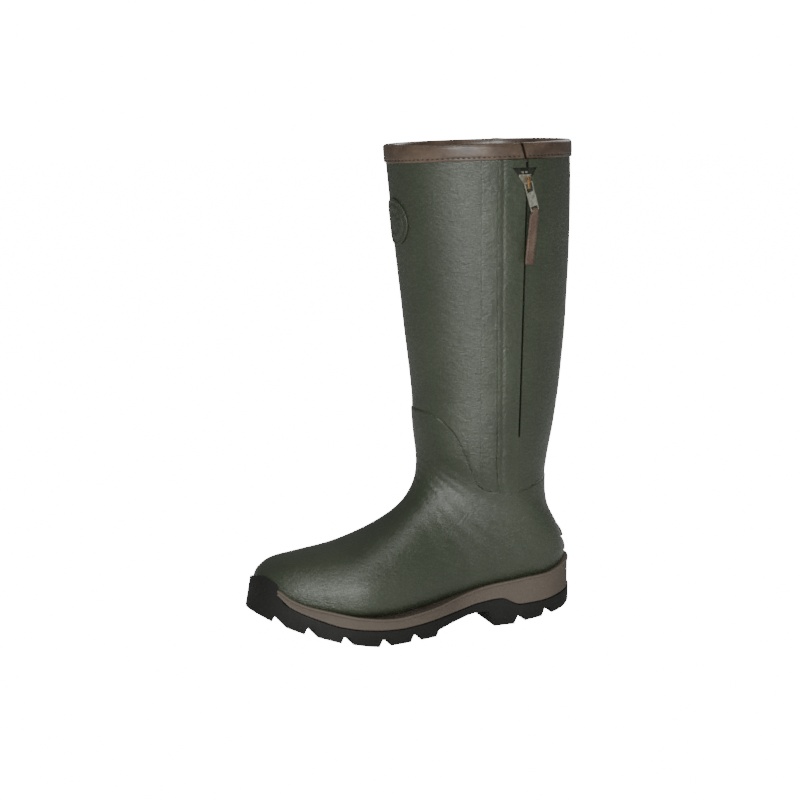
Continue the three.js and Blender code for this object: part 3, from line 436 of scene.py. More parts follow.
finishes = {
    "green": rubberFinish("green_rubber", {
        "dark": (48, 56, 41), "light": (60, 68, 51), "smooth": 0.24, "rough": 0.4, "waves": 0.3,
        "crinkle": 300, "crinkleStretch": 2.8, "crinkleDepth": 0.9, "grain": 1100, "grainDepth": 0.35,
        "shine": 0.8, "coat": 0.12}),
    "placket": rubberFinish("placket_rubber", {
        "dark": (47, 55, 40), "light": (59, 67, 50), "smooth": 0.24, "rough": 0.4, "waves": 0.7,
        "crinkle": 270, "crinkleStretch": 2.2, "crinkleDepth": 0.8, "grain": 1100, "grainDepth": 0.3,
        "shine": 0.8, "coat": 0.12}),
    "taupe": rubberFinish("taupe_rubber", {
        "dark": (90, 82, 73), "light": (102, 94, 84), "smooth": 0.5, "rough": 0.75, "waves": 0.06,
        "crinkle": 420, "crinkleStretch": 1, "crinkleDepth": 0.2, "grain": 2200, "grainDepth": 0.35,
        "shine": 0.35, "coat": 0}),
    "black": rubberFinish("black_rubber", {
        "dark": (20, 21, 19), "light": (30, 31, 28), "smooth": 0.5, "rough": 0.75, "waves": 0.08,
        "crinkle": 380, "crinkleStretch": 1, "crinkleDepth": 0.25, "grain": 1900, "grainDepth": 0.4,
        "shine": 0.4, "coat": 0}),
    "collar": leatherFinish("collar_leather", {
        "dark": (70, 57, 46), "light": (102, 86, 72), "grain": 1300, "depth": 0.4,
        "smooth": 0.24, "rough": 0.4, "coat": 0.4}),
    "strap": leatherFinish("strap_leather", {
        "dark": (74, 59, 49), "light": (104, 86, 73), "grain": 1500, "depth": 0.5,
        "smooth": 0.45, "rough": 0.65, "coat": 0.05}),
    "neoprene": clothFinish("neoprene", {
        "dark": (78, 71, 65), "light": (100, 92, 84), "weave": 420, "depth": 0.5, "sheen": 0.25}),
    "footbed": clothFinish("footbed_felt", {
        "dark": (50, 50, 48), "light": (72, 72, 69), "weave": 330, "depth": 0.4, "sheen": 0.3}),
    "tape": clothFinish("zip_tape_weave", {
        "dark": (36, 38, 28), "light": (58, 60, 44), "weave": 700, "depth": 0.6, "sheen": 0.1}),
    "gusset": clothFinish("gusset_cloth", {
        "dark": (40, 42, 32), "light": (58, 60, 46), "weave": 380, "depth": 0.5, "sheen": 0.15}),
    "teeth": rubberFinish("tooth_plastic", {
        "dark": (34, 35, 32), "light": (46, 47, 43), "smooth": 0.3, "rough": 0.45, "waves": 0.05,
        "crinkle": 900, "crinkleStretch": 1, "crinkleDepth": 0.1, "grain": 4000, "grainDepth": 0.1,
        "shine": 0.5, "coat": 0.1}),
    "board": clothFinish("pressed_board", {
        "dark": (126, 118, 103), "light": (150, 141, 124), "weave": 150, "depth": 0.2, "sheen": 0}),
    "steel": metalFinish("shank_steel", {
        "dark": (120, 121, 122), "light": (150, 151, 152), "smooth": 0.3, "rough": 0.45, "metal": 1}),
    "nickel": metalFinish("brushed_nickel", {
        "dark": (138, 138, 126), "light": (186, 186, 172), "smooth": 0.34, "rough": 0.5, "metal": 0.7}),
    "brass": metalFinish("antique_brass", {
        "dark": (128, 96, 62), "light": (178, 142, 98), "smooth": 0.3, "rough": 0.45, "metal": 0.8}),
    "darkThread": leatherFinish("dark_thread", {
        "dark": (34, 28, 24), "light": (52, 43, 37), "grain": 3000, "depth": 0.3,
        "smooth": 0.5, "rough": 0.7, "coat": 0}),
}
print("finishes ready")

# upper: the foot shell and the leg
upper = {
    "footProud": 0.9,
    "footWall": 1.8,
    "legWall": 2.2,
    "footEdge": [(-60, 192.5), (0.8, 192.6), (8, 192.3), (14, 189.8), (20, 184.5), (28, 175.7), (35.3, 160),
                 (41, 144), (46.7, 130.4), (53, 123.8), (66.8, 121), (81.6, 121.4), (98, 123.7),
                 (121, 128), (220, 146)],
    "slotHalf": 13,
    "slotLow": 162,
    "lipLength": 1.6,
}


def footEdgeStation(angle):
    low, high = 8, legStart + 1
    for _ in range(20):
        middle = (low + high) / 2
        point = onSkin(middle, angle)
        if point.z < softHeight(upper["footEdge"], point.y):
            low = middle
        else:
            high = middle
    return high


edgeCount = 256
edgeStations = [footEdgeStation(2 * math.pi * i / edgeCount) for i in range(edgeCount)]


def footEdgeAt(turn):
    place = (turn % 1) * edgeCount
    i = int(place)
    low, high = edgeStations[i % edgeCount], edgeStations[(i + 1) % edgeCount]
    return low + (high - low) * (place - i)


def onFootShell(turn, v):
    edge = footEdgeAt(turn)
    station = 0.02 + (edge - 0.02) * (v ** 1.15)
    lip = max(0, 1 - (edge - station) * 22 / upper["lipLength"])
    angle = turn * 2 * math.pi
    bend = math.exp(-((station - 10.5) / 2.6) ** 2) * max(0, math.cos(angle - 0.4)) ** 0.5
    crease = 0.16 * math.sin(station * 7.5 + 2.2 * math.sin(angle * 2.5)) * bend
    return layerPoint(station, angle, upper["footProud"] - 0.75 * lip ** 2 + crease)


footShell = makePiece("foot_shell_rubber", layGrid(192, 220, onFootShell, footMiddle), finishes["green"],
                      replaces=("foot_shell",))
thicken(footShell, upper["footWall"], edge=0)


def onLeg(turn, v):
    low = footEdgeAt(turn) - 0.06
    station = low + (lastSection - low) * v
    return layerPoint(station, turn * 2 * math.pi, 0)


def openSlot(bm, halfWidth, low):
    for side in (-1, 1):
        cutAcross(bm, toFrame(inZip(0, side * halfWidth, 0)), zipRear)
    cutAcross(bm, toFrame(inZip(low, 0, 0)), zipDown)
    gone = []
    for face in bm.faces:
        local = face.calc_center_median() * 1000 - shift - zipStart
        if abs(local.dot(zipRear)) < halfWidth and local.dot(zipDown) < low and local.dot(zipOut) > -40:
            gone.append(face)
    bmesh.ops.delete(bm, geom=gone, context="FACES")


slotLow = bootSize["rimHeight"] - upper["slotLow"]
legMesh = layGrid(192, 150, onLeg, legMiddle)
openSlot(legMesh, upper["slotHalf"], slotLow)
leg = makePiece("leg_rubber", legMesh, finishes["green"], replaces=("shaft",))
thicken(leg, upper["legWall"], edge=0)
print("foot shell and leg ready")

# toe: a second layer of rubber whose edge is feathered out
toeCap = {"first": 0.35, "reach": -93, "low": -28, "high": 208, "proud": 1.85, "feather": 0.12}


def toeEdgeStation(angle):
    low, high = 2.0, 6.0
    for _ in range(18):
        middle = (low + high) / 2
        if onSkin(middle, angle).y < toeCap["reach"]:
            low = middle
        else:
            high = middle
    return high


def onToeCap(u, v):
    angle = math.radians(toeCap["low"] + u * (toeCap["high"] - toeCap["low"]))
    edge = toeEdgeStation(angle)
    station = toeCap["first"] + (edge - toeCap["first"]) * v
    fade = min(1, u / toeCap["feather"], (1 - u) / toeCap["feather"], (1 - v) / 0.3)
    low = 0.84 + 0.1 * min(1, (1 - v) / 0.06)
    return layerPoint(station, angle, low + (toeCap["proud"] - 0.94) * (3 - 2 * fade) * fade * fade)


toe = makePiece("toe_cap_rubber", layGrid(120, 60, onToeCap, footMiddle), finishes["green"],
                replaces=("toe_cap",))
thicken(toe, 0.6, edge=0)

# lining of neoprene, seen inside the rim and down the leg
lining = {"outer": -3.4, "inner": -7.4, "slotHalf": 15, "slotLow": 160}


def onLining(turn, v):
    station = 1.6 + (lastSection - 1.6) * v
    return layerPoint(station, turn * 2 * math.pi, lining["inner"])


liningMesh = layGrid(128, 120, onLining, footMiddle)
openSlot(liningMesh, lining["slotHalf"], bootSize["rimHeight"] - lining["slotLow"])
liningPiece = makePiece("neoprene_lining", liningMesh, finishes["neoprene"],
                        replaces=("lining",))
thicken(liningPiece, lining["outer"] - lining["inner"], offset=1, edge=0)
print("toe cap and lining ready")

# leather binding round the rim, with its stitching
binding = {
    "wall": 1.3, "depth": 14.3, "rise": 2.5, "innerDepth": 13, "slitTop": -8.2, "slitFoot": -2.5, "slit": 2.5,
    "stitchUp": 2.3, "stitchLength": 2.7, "stitchGap": 1.5, "stitchWidth": 0.85,
    "seamAngle": 207,
}


def bindingProfile(angle):
    depth = binding["depth"] - binding["rise"] * abs(math.cos(angle))
    out = 0.35 + binding["wall"]
    back = lining["inner"] - 0.3 - binding["wall"]
    return [(0.35, depth - 0.1), (0.5, depth), (out - 0.55, depth), (out - 0.25, depth - 0.5),
            (out - 0.12, depth - 1.4), (out - 0.38, depth - 1.9), (out - 0.38, depth - 2.7),
            (out - 0.08, depth - 3.3), (out, depth - 5), (out, depth - 8), (out, 2.4), (out - 0.1, 1),
            (out - 0.5, -0.2), (out - 1.3, -1.2), (out - 2.4, -1.6),
            (-3.4, -1.6), (back + 2.4, -1.6), (back + 1.3, -1.2), (back + 0.5, -0.2), (back + 0.1, 1),
            (back, 3), (back, 10), (back + 0.1, binding["innerDepth"] - 0.5),
            (back + 0.5, binding["innerDepth"]), (lining["inner"] - 0.4, binding["innerDepth"]),
            (lining["inner"] - 0.35, 4), (lining["inner"] - 0.3, -0.3),
            (-3, -0.35), (0.3, -0.3), (0.35, 4), (0.35, depth - 0.1)]


def rimPoint(angle, offset, drop):
    rim = onSkin(lastSection, angle).z
    station = stationAtHeight(rim - max(drop, 0), lambda s: angle, legStart + 4)
    point = layerPoint(station, angle, offset)
    point.z = rim - drop
    return point


def slitEdge(drop):
    share = (drop + 6) / (binding["depth"] + 6)
    return binding["slitTop"] + share * (binding["slitFoot"] - binding["slitTop"])


def onBinding(u, v):
    offset, drop = between(bindingProfile(0), v)
    front = slitEdge(drop)
    start = zipAngle(lastSection, front)
    end = zipAngle(lastSection, front + binding["slit"])
    angle = start + u * (end + 2 * math.pi - start)
    offset, drop = between(bindingProfile(angle), v)
    wear = 0.12 * math.sin(angle * 9 + 1) * math.sin(angle * 4)
    seam = math.degrees(angle) % 360 - binding["seamAngle"] + (drop - 5) * 0.12
    if 0 < seam < 9:
        offset += math.copysign(0.45, offset + 3) * min(1, seam / 0.6, (9 - seam) / 5)
        drop -= 0.5 * min(1, seam / 0.6, (9 - seam) / 5) if drop < 2 else 0
    return rimPoint(angle, offset + (wear if 1 < drop < 10 and offset > 0 else 0), drop)


bindingMesh = layGrid(256, 90, onBinding)
bmesh.ops.holes_fill(bindingMesh, edges=[e for e in bindingMesh.edges if e.is_boundary], sides=200)
bmesh.ops.recalc_face_normals(bindingMesh, faces=bindingMesh.faces)
makePiece("collar_leather", bindingMesh, finishes["collar"],
          replaces=("collar_binding",), sharp=50)


def addStitch(bm, start, end, out, width, lift=0.0):
    along = end - start
    turn = Matrix((along.normalized(), out.cross(along).normalized(), out)).transposed().to_4x4()
    size = Matrix.Diagonal((along.length * 0.5, width * 0.5, width * 0.42, 1))
    place = Matrix.Translation((start + end) / 2 + out * lift)
    matrix = Matrix.Scale(0.001, 4) @ Matrix.Translation(shift) @ place @ turn @ size
    bmesh.ops.create_uvsphere(bm, u_segments=6, v_segments=4, radius=1, matrix=matrix)


def stitchRow(bm, path, length, gap, width):
    travelled, start, last = 0, None, path[0]
    for point, out in path[1:]:
        step = (point - last[0]).length
        travelled += step
        if start is None and travelled >= gap:
            start, travelled = (point, out), 0
        elif start is not None and travelled >= length:
            addStitch(bm, start[0], point, start[1], width)
            start, travelled = None, 0
        last = (point, out)


stitches = bmesh.new()
path = []
pathSteps = 2600
for i in range(pathSteps):
    drop = binding["depth"] - binding["rise"] - binding["stitchUp"]
    start = zipAngle(lastSection, slitEdge(drop) - 1.6)
    end = zipAngle(lastSection, slitEdge(drop) + binding["slit"] + 1.6) + 2 * math.pi
    angle = start + (end - start) * i / (pathSteps - 1)
    drop = binding["depth"] - binding["rise"] * abs(math.cos(angle)) - binding["stitchUp"]
    offset = 0.35 + binding["wall"] - 0.3
    path.append((rimPoint(angle, offset, drop), skinNormal(lastSection - 0.3, angle)))
stitchRow(stitches, path, binding["stitchLength"], binding["stitchGap"], binding["stitchWidth"])
makePiece("collar_stitching", stitches, finishes["darkThread"], merge=0)
print("collar ready")

# placket: a flat base and a cover, cut as patterns and laid on the leg
placket = {
    "baseWall": 0.8, "coverWall": 1.2, "baseTop": 40, "baseBottom": 32.5, "baseRear": 24,
    "coverTop": 26.5, "coverBottom": 18.5, "coverRear": 16.5, "slitHalf": 0.8, "slitTail": 3,
    "notchDrop": 21, "notchHeight": 17, "notchFront": 14, "notchRear": 9, "foot": 118,
}
placketTop = bootSize["rimHeight"] - 0.7 * bootSize["rimDrop"] - binding["depth"] + binding["rise"] - 0.3


def collarFoot(distance):
    angle = zipAngle(lastSection - 0.3, distance)
    return onSkin(lastSection, angle).z - binding["depth"] + binding["rise"] * abs(math.cos(angle)) - 0.25


def flatPattern(columns, rows, frontEdge, rearEdge):
    bm = bmesh.new()
    bmesh.ops.create_grid(bm, x_segments=columns, y_segments=rows, size=0.5)
    for vert in bm.verts:
        z = placket["foot"] + (vert.co.y + 0.5) * (placketTop - placket["foot"])
        front, rear = -frontEdge(z), rearEdge
        distance = front + (vert.co.x + 0.5) * (rear - front)
        z += (collarFoot(distance) - placketTop) * max(0, 1 - (placketTop - z) / 12)
        vert.co = Vector((distance, z, 0))
    return bm


def placketShare(z):
    return (z - placket["foot"]) / (placketTop - placket["foot"])


def cutOut(bm, outline):
    for (x0, z0), (x1, z1) in zip(outline, outline[1:] + outline[:1]):
        cutAcross(bm, Vector((x0, z0, 0)), Vector((z1 - z0, x0 - x1, 0)))
    gone = []
    for face in bm.faces:
        c = face.calc_center_median()
        sides = [(x1 - x0) * (c.y - z0) - (z1 - z0) * (c.x - x0)
                 for (x0, z0), (x1, z1) in zip(outline, outline[1:] + outline[:1])]
        if all(s > 0 for s in sides) or all(s < 0 for s in sides):
            gone.append(face)
    bmesh.ops.delete(bm, geom=gone, context="FACES")


def layOnLeg(bm, offsetAt):
    for vert in bm.verts:
        distance, z = vert.co.x, vert.co.y
        vert.co = toFrame(besideZip(z, distance, offsetAt(distance, z)))
    faceAway(bm, legMiddle)
    return bm


def trimAtFoot(bm):
    gone = []
    for face in bm.faces:
        point = face.calc_center_median() * 1000 - shift
        if point.z < heightOn(upper["footEdge"], point.y) - 0.2:
            gone.append(face)
    bmesh.ops.delete(bm, geom=gone, context="FACES")


def downZip(u):
    return bootSize["rimHeight"] - u * abs(zipDown.z)


baseMesh = flatPattern(48, 180, lambda z: placket["baseBottom"] + placketShare(z)
                       * (placket["baseTop"] - placket["baseBottom"]), placket["baseRear"])
cutOut(baseMesh, [(-13.3, upper["slotLow"] - 0.3), (13.3, upper["slotLow"] - 0.3), (13.3, 430), (-13.3, 430)])
layOnLeg(baseMesh, lambda d, z: 0.35)
trimAtFoot(baseMesh)
base = makePiece("placket_base_rubber", baseMesh, finishes["placket"],
                 replaces=("placket_base",))
thicken(base, placket["baseWall"], offset=1, edge=0.3, segments=3)

coverMesh = flatPattern(56, 200, lambda z: placket["coverBottom"] + placketShare(z)
                        * (placket["coverTop"] - placket["coverBottom"]), placket["coverRear"])
tip = placket["notchDrop"] + placket["notchHeight"]
slitHalf = placket["slitHalf"]
slitLow = downZip(zipRun + placket["slitTail"])
cutOut(coverMesh, [(-slitHalf, downZip(tip - 2)), (slitHalf, downZip(tip - 2)), (slitHalf, slitLow),
                   (-slitHalf, slitLow)])
cutOut(coverMesh, [(-placket["notchFront"], downZip(placket["notchDrop"])),
                   (placket["notchRear"], downZip(placket["notchDrop"])),
                   (slitHalf, downZip(tip)), (-slitHalf, downZip(tip))])
cutOut(coverMesh, [(-2.4, 430), (0.1, 430), (0.9, downZip(placket["notchDrop"] + 1)),
                   (-1.6, downZip(placket["notchDrop"] + 1))])


def coverLift(distance, z):
    beside = max(0, 1 - abs(distance) / 5)
    lips = 0.3 * beside ** 2 if z < downZip(tip) else 0
    front = placket["coverBottom"] + placketShare(z) * (placket["coverTop"] - placket["coverBottom"])
    valley = -0.3 * math.exp(-((distance + front - 4.5) / 1.6) ** 2)
    pillow = 0.35 * math.sin(z / 16 + 0.6 * math.sin(z / 41)) * math.exp(-((distance + front * 0.5) / 6) ** 2)
    return 1.4 + lips + valley + pillow * 0.6


layOnLeg(coverMesh, coverLift)
trimAtFoot(coverMesh)
cover = makePiece("placket_cover_rubber", coverMesh, finishes["placket"],
                  replaces=("placket_cover",))
thicken(cover, placket["coverWall"], offset=1, edge=0.35, segments=3)
print("placket ready")

# badge on the shin: a plain raised disc with a rope ring
badge = {
    "radius": 20.3, "height": 356, "spokes": 48,
    "rings": [(0, 1.1), (0.3, 1.15), (0.34, 0.75), (0.5, 0.7), (0.54, 1.1), (0.7, 1.1), (0.74, 0.65),
              (0.84, 0.65), (0.88, 1.45), (0.96, 1.45), (1, 0.9), (1, 0.1)],
}


def onBadge(turn, v):
    share, height = between(badge["rings"], v)
    a = turn * 2 * math.pi
    x, z = badge["radius"] * share * math.cos(a), badge["height"] + badge["radius"] * share * math.sin(a)
    if 0.86 < share < 0.98:
        height -= 0.25 * (0.5 + 0.5 * math.cos(a * badge["spokes"]))
    if 0.34 < share < 0.72:
        height += 0.22 * (0.5 + 0.5 * math.cos(a * 12 + share * 9))
    angle = math.pi / 2
    for _ in range(6):
        station = stationAtHeight(z, lambda s: angle, legStart)
        angle -= (x - onSkin(station, angle).x) / max(30, sectionAt(station)[4])
    return layerPoint(station, angle, 0.3 + height)


badgePiece = makePiece("shin_badge", layGrid(192, 44, onBadge, legMiddle), finishes["placket"],
                       replaces=("front_badge",), sharp=60)
thicken(badgePiece, 0.25, edge=0)
print("badge ready")

# sole
sole = {
    "plan": [
        (-6, -149.2), (10, -146.8), (25, -139.3), (40, -123), (51.5, -102), (59, -81), (62, -60),
        (61.5, -40), (57.5, -15), (50.5, 12), (44.5, 38), (42, 62), (42, 88), (41.5, 108),
        (37, 128), (25, 145), (0, 153.8), (-24, 144), (-35.5, 128), (-39.5, 106), (-39, 84),
        (-37, 60), (-36, 34), (-37.5, 6), (-43, -24), (-49.5, -52), (-54, -78), (-53.5, -96),
        (-49.5, -112.5), (-42.5, -127), (-32.5, -138), (-20, -145.5),
    ],
    "midsoleTop": [
        (-140, 52), (-129, 48.2), (-126.4, 44.7), (-121, 41.3), (-114.8, 38.4), (-108.5, 36.1),
        (-92.3, 32.2), (-80, 29), (-67.3, 25.8), (-49.5, 22.8), (-40.3, 21.7), (-30.6, 21.2),
        (-20.8, 21.6), (4.8, 23.9), (15.2, 26.1), (36, 31.4), (53.6, 35.2), (63.6, 36.6),
        (85.4, 38.6), (98.6, 40.2), (111.3, 41), (120.5, 41.9), (134.3, 45.4), (144, 48.2),
        (148, 49.5), (160, 51),
    ],
    "midsoleBottom": [
        (-140, 47), (-129, 42.5), (-126.8, 37), (-122, 33.6), (-115.2, 29.9), (-105.8, 25.9),
        (-92.5, 20.9), (-84.5, 18.1), (-67.6, 14.5), (-48, 12), (-35.9, 11.2), (-26.1, 10.8),
        (-6, 11.8), (4.3, 12.8), (14.8, 14.3), (35.7, 17.9), (46.8, 20.4), (65.8, 22.5), (74, 22.6),
        (78.5, 20.9), (83.6, 17.5), (90.2, 15.2), (98.5, 15.5), (115.8, 16.5), (125.1, 18.1),
        (136.7, 20.1), (160, 25),
    ],
    "bumperTop": [(-129.3, 46.5), (-129.6, 49.5), (-131.2, 53.5), (-135.5, 56.2), (-142, 57.5), (-153, 58)],
    "tread": [
        (-156, 28.4), (-152.2, 27), (-147, 25.5), (-141.2, 23.3), (-136, 20.8), (-127.9, 17.7),
        (-112.6, 12.1), (-102, 9.8), (-83, 4.3), (-70.5, 2), (-60, -0.3), (-49.6, -2), (6.5, -2),
        (9, 3.8), (20, 7.2), (39.2, 12.1), (48, 13.2), (60, 12.5), (66, -2), (85, -2), (100, 0.8),
        (114, 2.4), (125, 4.2), (137, 6.2), (150, 11), (160, 14.5),
    ],
    "grooves": [-131.5, -107.6, -78.5, -44.5, -14.5, 91, 118],
    "ground": -2, "treadDepth": 5.8, "grooveWidth": 5.4, "grooveFlare": 2.6,
    "bumperFoot": 24, "bumperLean": 6.3, "bumperInner": 12, "bumperFall": 0.26,
}


def planCurve(points, count):
    dense = []
    n = len(points)
    for i in range(n):
        p = [Vector(points[(i + k) % n] + (0,)) for k in (-1, 0, 1, 2)]
        d = [max((p[k + 1] - p[k]).length ** 0.5, 1e-4) for k in range(3)]
        t1 = ((p[1] - p[0]) / d[0] - (p[2] - p[0]) / (d[0] + d[1]) + (p[2] - p[1]) / d[1]) * d[1]
        t2 = ((p[2] - p[1]) / d[1] - (p[3] - p[1]) / (d[1] + d[2]) + (p[3] - p[2]) / d[2]) * d[1]
        for k in range(24):
            t = k / 24
            dense.append(p[1] + t1 * t + (-3 * p[1] + 3 * p[2] - 2 * t1 - t2) * t * t
                         + (2 * p[1] - 2 * p[2] + t1 + t2) * t ** 3)
    lengths = [0]
    for a, b in zip(dense, dense[1:] + dense[:1]):
        lengths.append(lengths[-1] + (b - a).length)
    out, j = [], 0
    for i in range(count):
        target = lengths[-1] * i / count
        while lengths[j + 1] < target:
            j += 1
        t = (target - lengths[j]) / (lengths[j + 1] - lengths[j])
        out.append(dense[j].lerp(dense[(j + 1) % len(dense)], t))
    return out


planCount = 360
planLine = planCurve(sole["plan"], planCount)


def planPoint(share, inset):
    place = (share % 1) * planCount
    i = int(place)
    a, b, c, d = (planLine[(i + k) % planCount] for k in (-1, 0, 1, 2))
    point = b.lerp(c, place - i)
    tangent = (c - a).lerp(d - b, place - i).normalized()
    return Vector((point.x - tangent.y * inset, point.y + tangent.x * inset, 0))


def planRing(z, inset, count=240):
    return [toFrame(planPoint(i / count, inset) + Vector((0, 0, z))) for i in range(count)]


def stackRings(rings):
    bm = bmesh.new()
    loops = []
    for k, ring in enumerate(rings):
        capped = k in (0, len(rings) - 1)
        made = bmesh.ops.create_circle(bm, cap_ends=capped, segments=len(ring), radius=1)["verts"]
        for vert, point in zip(made, ring):
            vert.co = point
        loops.append(made)
    for low, high in zip(loops, loops[1:]):
        edges = {e for v in low + high for e in v.link_edges
                 if e.other_vert(v) in set(low) or e.other_vert(v) in set(high)}
        bmesh.ops.bridge_loops(bm, edges=list(edges))
    bmesh.ops.recalc_face_normals(bm, faces=bm.faces)
    return bm


outerHalf = [i for i, p in enumerate(planLine) if p.y > -133.5]
firstShare = min(outerHalf) / planCount
lastShare = max(outerHalf) / planCount


def onMidsole(u, v):
    share = firstShare + u * (lastShare - firstShare)
    y = planPoint(share, 1).y
    low, high = softHeight(sole["midsoleBottom"], y) + 0.2, softHeight(sole["midsoleTop"], y)
    tall = high - low
    profile = [(18, 0), (2.2, 0), (1.3, 0.25), (0.9, 0.9), (0.9, 1.5), (1.15, 2.1), (1.15, tall * 0.4),
               (1.15, tall - 3.2), (1.1, tall - 2.6), (0.55, tall - 2.0), (0.4, tall - 1.2),
               (0.55, tall - 0.5),
               (1.1, tall - 0.05), (2.2, tall), (3, tall - 0.5), (18, tall - 1), (18, 0)]
    inset, up = between(profile, v)
    return planPoint(share, inset) + Vector((0, 0, low + min(max(up, 0), tall)))


midsoleMesh = layGrid(400, 48, onMidsole)
bmesh.ops.holes_fill(midsoleMesh, edges=[e for e in midsoleMesh.edges if e.is_boundary], sides=60)
bmesh.ops.recalc_face_normals(midsoleMesh, faces=midsoleMesh.faces)
makePiece("midsole_rubber", midsoleMesh, finishes["taupe"],
          replaces=("midsole",), sharp=60)

walls = [(sole["ground"] - 1, 1.5), (sole["ground"] + 7, 0), (sole["bumperFoot"], 0),
         (62, sole["bumperLean"])]
block = stackRings([planRing(z, inset) for z, inset in walls])
side = sole["tread"] + [(160, 25)] + list(reversed(sole["midsoleBottom"][1:-1]))
side += sole["bumperTop"] + [(-156, 58)]
block = carve(block, prism(side, acrossBoot, -90, 90), "INTERSECT")
fall = [(sole["bumperInner"], 90), (sole["bumperInner"], 57.5),
        (-70, 57.5 - (sole["bumperInner"] + 70) * sole["bumperFall"]), (-70, 90)]
block = carve(block, prism(fall, lambda x, z, y: toFrame(Vector((x, y, z))), -211.6, -131.6))
for y in sole["grooves"]:
    floor = heightOn(sole["tread"], y) + sole["treadDepth"]
    half = sole["grooveWidth"] / 2
    mouth = half + sole["grooveFlare"]
    low = floor - sole["treadDepth"]
    outline = [(y - mouth, low - 4), (y + mouth, low - 4), (y + mouth, low), (y + half, floor),
               (y - half, floor + 0.6), (y - mouth, low)]
    block = carve(block, prism(outline, acrossBoot, -90, 90))
ground, depth = sole["ground"], sole["treadDepth"]
for points, low, high in (
        ([(-118, ground - 3), (0, ground - 3), (0, depth - 3), (-60, depth - 3), (-83, depth + 3.2),
          (-118, depth + 12)], 1, 7),
        ([(74, ground - 3), (131, ground - 3), (131, depth + 2), (74, depth - 3)], -1.5, 4.5)):
    block = carve(block, prism(points, acrossBoot, low, high))
outsole = makePiece("lugged_outsole", block, finishes["black"], replaces=("outsole",),
                    sharp=38, merge=0.02)
soften(outsole, 0.7, 3, 36)
print("sole ready")

# kicker: shingled ribs up the back of the heel
kicker = {"low": 12.04, "high": 13.08, "halfAngle": 15, "ribs": 2, "base": 0.8, "rib": 2.0}


def onKicker(u, v):
    station = kicker["low"] + v * (kicker["high"] - kicker["low"])
    angle = math.radians(-90 + kicker["halfAngle"] * (2 * u - 1))
    down = kicker["ribs"] * (1 - v)
    share = 1 if down >= kicker["ribs"] else down % 1
    rib = kicker["rib"] * math.sin(share * math.pi / 1.6)
    fade = min(1, u / 0.07, (1 - u) / 0.07, (1 - v) / 0.04, v / 0.03)
    return layerPoint(station, angle, 1.25 + (kicker["base"] - 0.1 + rib) * math.sin(fade * math.pi / 2))


kickerPiece = makePiece("heel_kicker_rubber", layGrid(48, 96, onKicker, footMiddle), finishes["taupe"],
                        replaces=("heel_kicker",), sharp=55)
thicken(kickerPiece, 0.3, edge=0)
print("kicker ready")


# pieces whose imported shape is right: a copy with softened edges
def polishedCopy(node, name, finish, body, edge, segments=3, limit=30):
    bm = bmesh.new()
    bm.from_mesh(frame["nodes"][node].data)
    bmesh.ops.remove_doubles(bm, verts=bm.verts, dist=1e-6)
    bmesh.ops.dissolve_limit(bm, angle_limit=0.02, verts=bm.verts, edges=bm.edges)
    piece = makePiece(name, bm, finish, body, (node,), sharp=35, merge=0)
    return soften(piece, edge, segments, limit) if edge else piece


polishedCopy("slider_body", "slider_plates", finishes["nickel"], "slider", 0.2)
polishedCopy("slider_bail", "slider_bridge", finishes["brass"], "slider", 0.3)
polishedCopy("pull_tab", "pull_frame", finishes["nickel"], "pull", 0.22)
for node in ("zip_top_stop_front", "zip_top_stop_rear", "zip_bottom_stop"):
    polishedCopy(node, node + "_crimp", finishes["nickel"], "boot", 0.25)
for node in ("zip_teeth_front", "zip_teeth_rear"):
    polishedCopy(node, node + "_row", finishes["teeth"], "boot", 0.16, 2)
footbedPiece = polishedCopy("footbed", "footbed_felt", finishes["footbed"], "boot", 0.8, 3)

carried = {
    "zip_tape_front": "tape", "zip_tape_rear": "tape", "zip_gusset": "gusset", "toe_puff": "board",
    "heel_counter": "board", "insole_board": "board", "shank": "steel",
}
for node, finish in carried.items():
    item = frame["nodes"][node]
    item.data.materials.clear()
    item.data.materials.append(finishes[finish])
print("zip and inner parts ready")

# leather strap folded through the pull
strap = {"length": 46, "width": 8, "ply": 0.95, "eye": 1.2, "tilt": -6, "stitchIn": 1.1}
joints = {joint["name"]: joint for joint in frame["record"]["behaviour"]["joints"]}
barPoint = Vector(joints["strap_swing"]["pos_m"]) * 1000 - shift
strapSide = Vector((zipRear.x, zipRear.y, 0)).normalized()
strapOut = strapSide.cross(Vector((0, 0, 1)))
lean = Matrix.Rotation(math.radians(strap["tilt"]), 4, "Z")


def onStrapPlace(x, y, z):
    local = lean @ Vector((x, y, 0))
    return barPoint + strapSide * local.x + Vector((0, 0, 1)) * local.y + strapOut * z


def strapMiddle(v):
    reach = strap["eye"] + strap["ply"] / 2
    gapHalf = strap["ply"] / 2 + 0.08
    rows = [(-strap["length"], -gapHalf), (-6, -gapHalf), (-3.5, -reach * 0.8)]
    rows += [(math.sin(math.pi * k / 12) * reach, -math.cos(math.pi * k / 12) * reach) for k in range(13)]
    rows += [(-3.5, reach * 0.8), (-6, gapHalf), (-strap["length"], gapHalf)]
    lengths = [0]
    for a, b in zip(rows, rows[1:]):
        lengths.append(lengths[-1] + math.dist(a, b))
    s = v * lengths[-1]
    for i in range(len(rows) - 1):
        if s <= lengths[i + 1] or i == len(rows) - 2:
            t = (s - lengths[i]) / (lengths[i + 1] - lengths[i])
            a, b = rows[i], rows[i + 1]
            size = math.dist(a, b)
            normal = ((b[1] - a[1]) / size, -(b[0] - a[0]) / size)
            return a[0] + (b[0] - a[0]) * t, a[1] + (b[1] - a[1]) * t, normal


